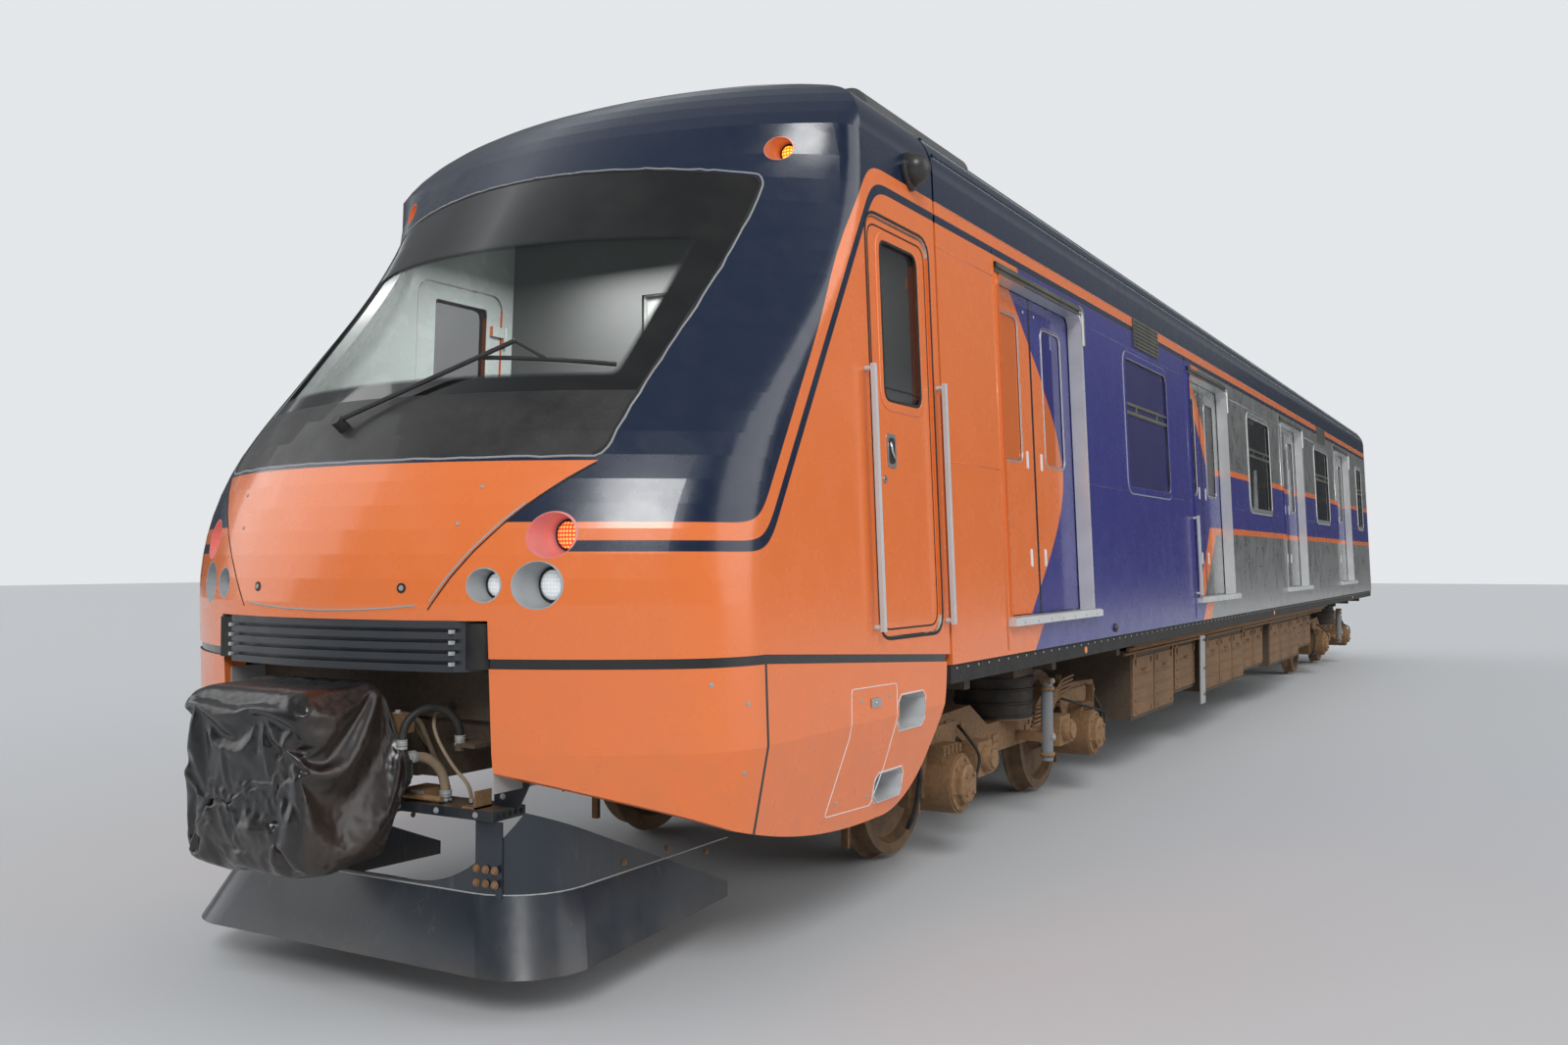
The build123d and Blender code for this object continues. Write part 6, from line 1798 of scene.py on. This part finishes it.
def bag_filling():
    """What the cloth lies on: narrower below and hollow in front."""
    points, faces = bag_shape((20, 18, 20), 12, 0.022)
    lowest = place(0, 0, BAG_H[0]).z
    padded = []
    for p in points:
        share = (p.z - lowest) / (BAG_H[1] - BAG_H[0])
        waist = 1.0 - 0.10 * (1.0 - share) ** 2 - 0.05 * math.sin(math.pi * share)
        lift = 0.045 * (1.0 - share) ** 3
        front = 1.0 if p.y + MID_STATION < BAG_S[0] + 0.12 else 0.0
        hollow = front * 0.014 * math.sin(math.pi * share)
        padded.append(Vector((p.x * waist, p.y + hollow, p.z + lift)))
    return new_mesh("bag_filling", padded, faces)


def hang_bag(bag):
    """Lets the cloth settle on its filling while its creases are drawn in."""
    scene = bpy.context.scene
    filling = bag_filling()
    filling.modifiers.new("stop", "COLLISION")
    filling.collision.thickness_outer = 0.004
    filling.collision.cloth_friction = 12.0
    held = held_points(bag)
    group = bag.vertex_groups.new(name="held")
    group.add(list(held), 1.0, "REPLACE")
    bag.shape_key_add(name="loose")
    drawn = bag.shape_key_add(name="drawn")
    for index, depth in held.items():
        drawn.data[index].co.y += depth
    for value, frame in ((0.0, 1), (1.0, DRAW_FRAMES)):
        drawn.value = value
        drawn.keyframe_insert("value", frame=frame)
    cloth = bag.modifiers.new("cloth", "CLOTH")
    for setting, value in CLOTH.items():
        setattr(cloth.settings, setting, value)
    cloth.collision_settings.collision_quality = 3
    cloth.collision_settings.distance_min = 0.006
    cloth.point_cache.frame_start = 1
    cloth.point_cache.frame_end = HANG_FRAMES
    scene.frame_start, scene.frame_end = 1, HANG_FRAMES
    for frame in range(1, HANG_FRAMES + 1):
        scene.frame_set(frame)
    shown = bag.evaluated_get(bpy.context.evaluated_depsgraph_get())
    settled = bpy.data.meshes.new_from_object(shown)
    bag.modifiers.clear()
    bag.vertex_groups.clear()
    bag.animation_data_clear()
    bag.shape_key_clear()
    bag.data = settled
    bpy.data.objects.remove(filling)
    scene.frame_set(1)


def make_camera():
    data = bpy.data.cameras.new("camera")
    data.lens = CAMERA_LENS
    data.sensor_width = SENSOR_WIDTH
    data.clip_end = 400.0
    camera = new_object("camera", data)
    camera.location = CAMERA_PLACE
    camera.rotation_euler = Euler([math.radians(a) for a in CAMERA_TURN])
    bpy.context.scene.camera = camera


# Lights: name, strength, size in degrees, direction that it shines from
SUNS = (
    ("key", 1.55, 22, (6.0, -9.0, 8.0)),
    ("fill", 0.9, 50, (9.0, 4.0, 3.5)),
    ("far_side", 0.7, 50, (-9.0, -3.0, 4.0)),
)


def make_lights():
    """Three broad suns, and the lit ceiling panel of the driver's cab."""
    for name, strength, size, source in SUNS:
        data = bpy.data.lights.new(name, "SUN")
        data.energy = strength
        data.angle = math.radians(size)
        new_object(name, data).rotation_euler = Vector(source).to_track_quat("Z", "Y").to_euler()
    data = bpy.data.lights.new("cab_lamp", "AREA")
    data.energy = 60.0
    data.shape = "RECTANGLE"
    data.size, data.size_y = 1.6, 0.4
    new_object("cab_lamp", data).location = place(0, -0.45, 3.36)


def make_world():
    """Even soft light, a pale backdrop, and rows of roof lamps in reflections."""
    world = bpy.data.worlds.new("studio")
    bpy.context.scene.world = world
    world.use_nodes = True
    nodes = Nodes(world.node_tree, "ShaderNodeOutputWorld")
    x, _, height = nodes.parts("Generated")
    row = nodes.math("PINGPONG", x / nodes.math("MAXIMUM", height, 0.05), 0.9)
    lamp = nodes.math("POWER", row / 0.9, 5.0) * nodes.math("GREATER_THAN", height, 0.15)
    glow = height.spread(0.02, 0.85, 0.05, 0.30) + lamp * 0.45
    soft = nodes.node("Background", {"Color": (0.80, 0.84, 0.88), "Strength": 0.60})
    seen = nodes.node("Background", {"Color": (0.78, 0.80, 0.82), "Strength": 1.0})
    mirrored = nodes.node("Background", {"Color": (0.86, 0.90, 0.94), "Strength": glow})
    glossy = nodes.node("MixShader", {0: nodes.node("LightPath", {}, "Is Glossy Ray"), 1: soft, 2: mirrored})
    camera = nodes.node("MixShader", {0: nodes.node("LightPath", {}, "Is Camera Ray"), 1: glossy, 2: seen})
    nodes.feed(nodes.surface, camera)


def make_floor():
    half = 90.0
    corners = [(-half, -half, 0), (half, -half, 0), (half, half, 0), (-half, half, 0)]
    floor = new_mesh("floor", corners, [(0, 1, 2, 3)])
    finish = Finish("floor", Base_Color=(0.58, 0.59, 0.60), Roughness=0.75)
    floor.data.materials.append(finish.material)


def main():
    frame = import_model()
    bpy.context.scene.view_settings.view_transform = "Standard"
    make_camera()
    finishes = make_finishes()
    make_hoses(finishes)
    make_bag(finishes)
    make_lights()
    make_world()
    make_floor()
    dress_nodes(frame, finishes)
    window_trim()
    doorway_trim()
    leaf_trim()
    wall_seams()
    sole_trim()
    roof_ribs(frame)
    roof_unit_trim()
    nose_trim(frame)
    lamp_trim(frame)
    dome_trim()
    anticlimber_trim()
    cab_door_trim()
    skirt_trim(frame)
    deflector_trim()
    tray_trim()
    coupler_trim()
    underfloor_trim()
    for body, pivot in PIVOTS:
        bogie_trim(body, pivot)
    for piece in list(Piece.waiting):
        piece.build(finishes)


main()
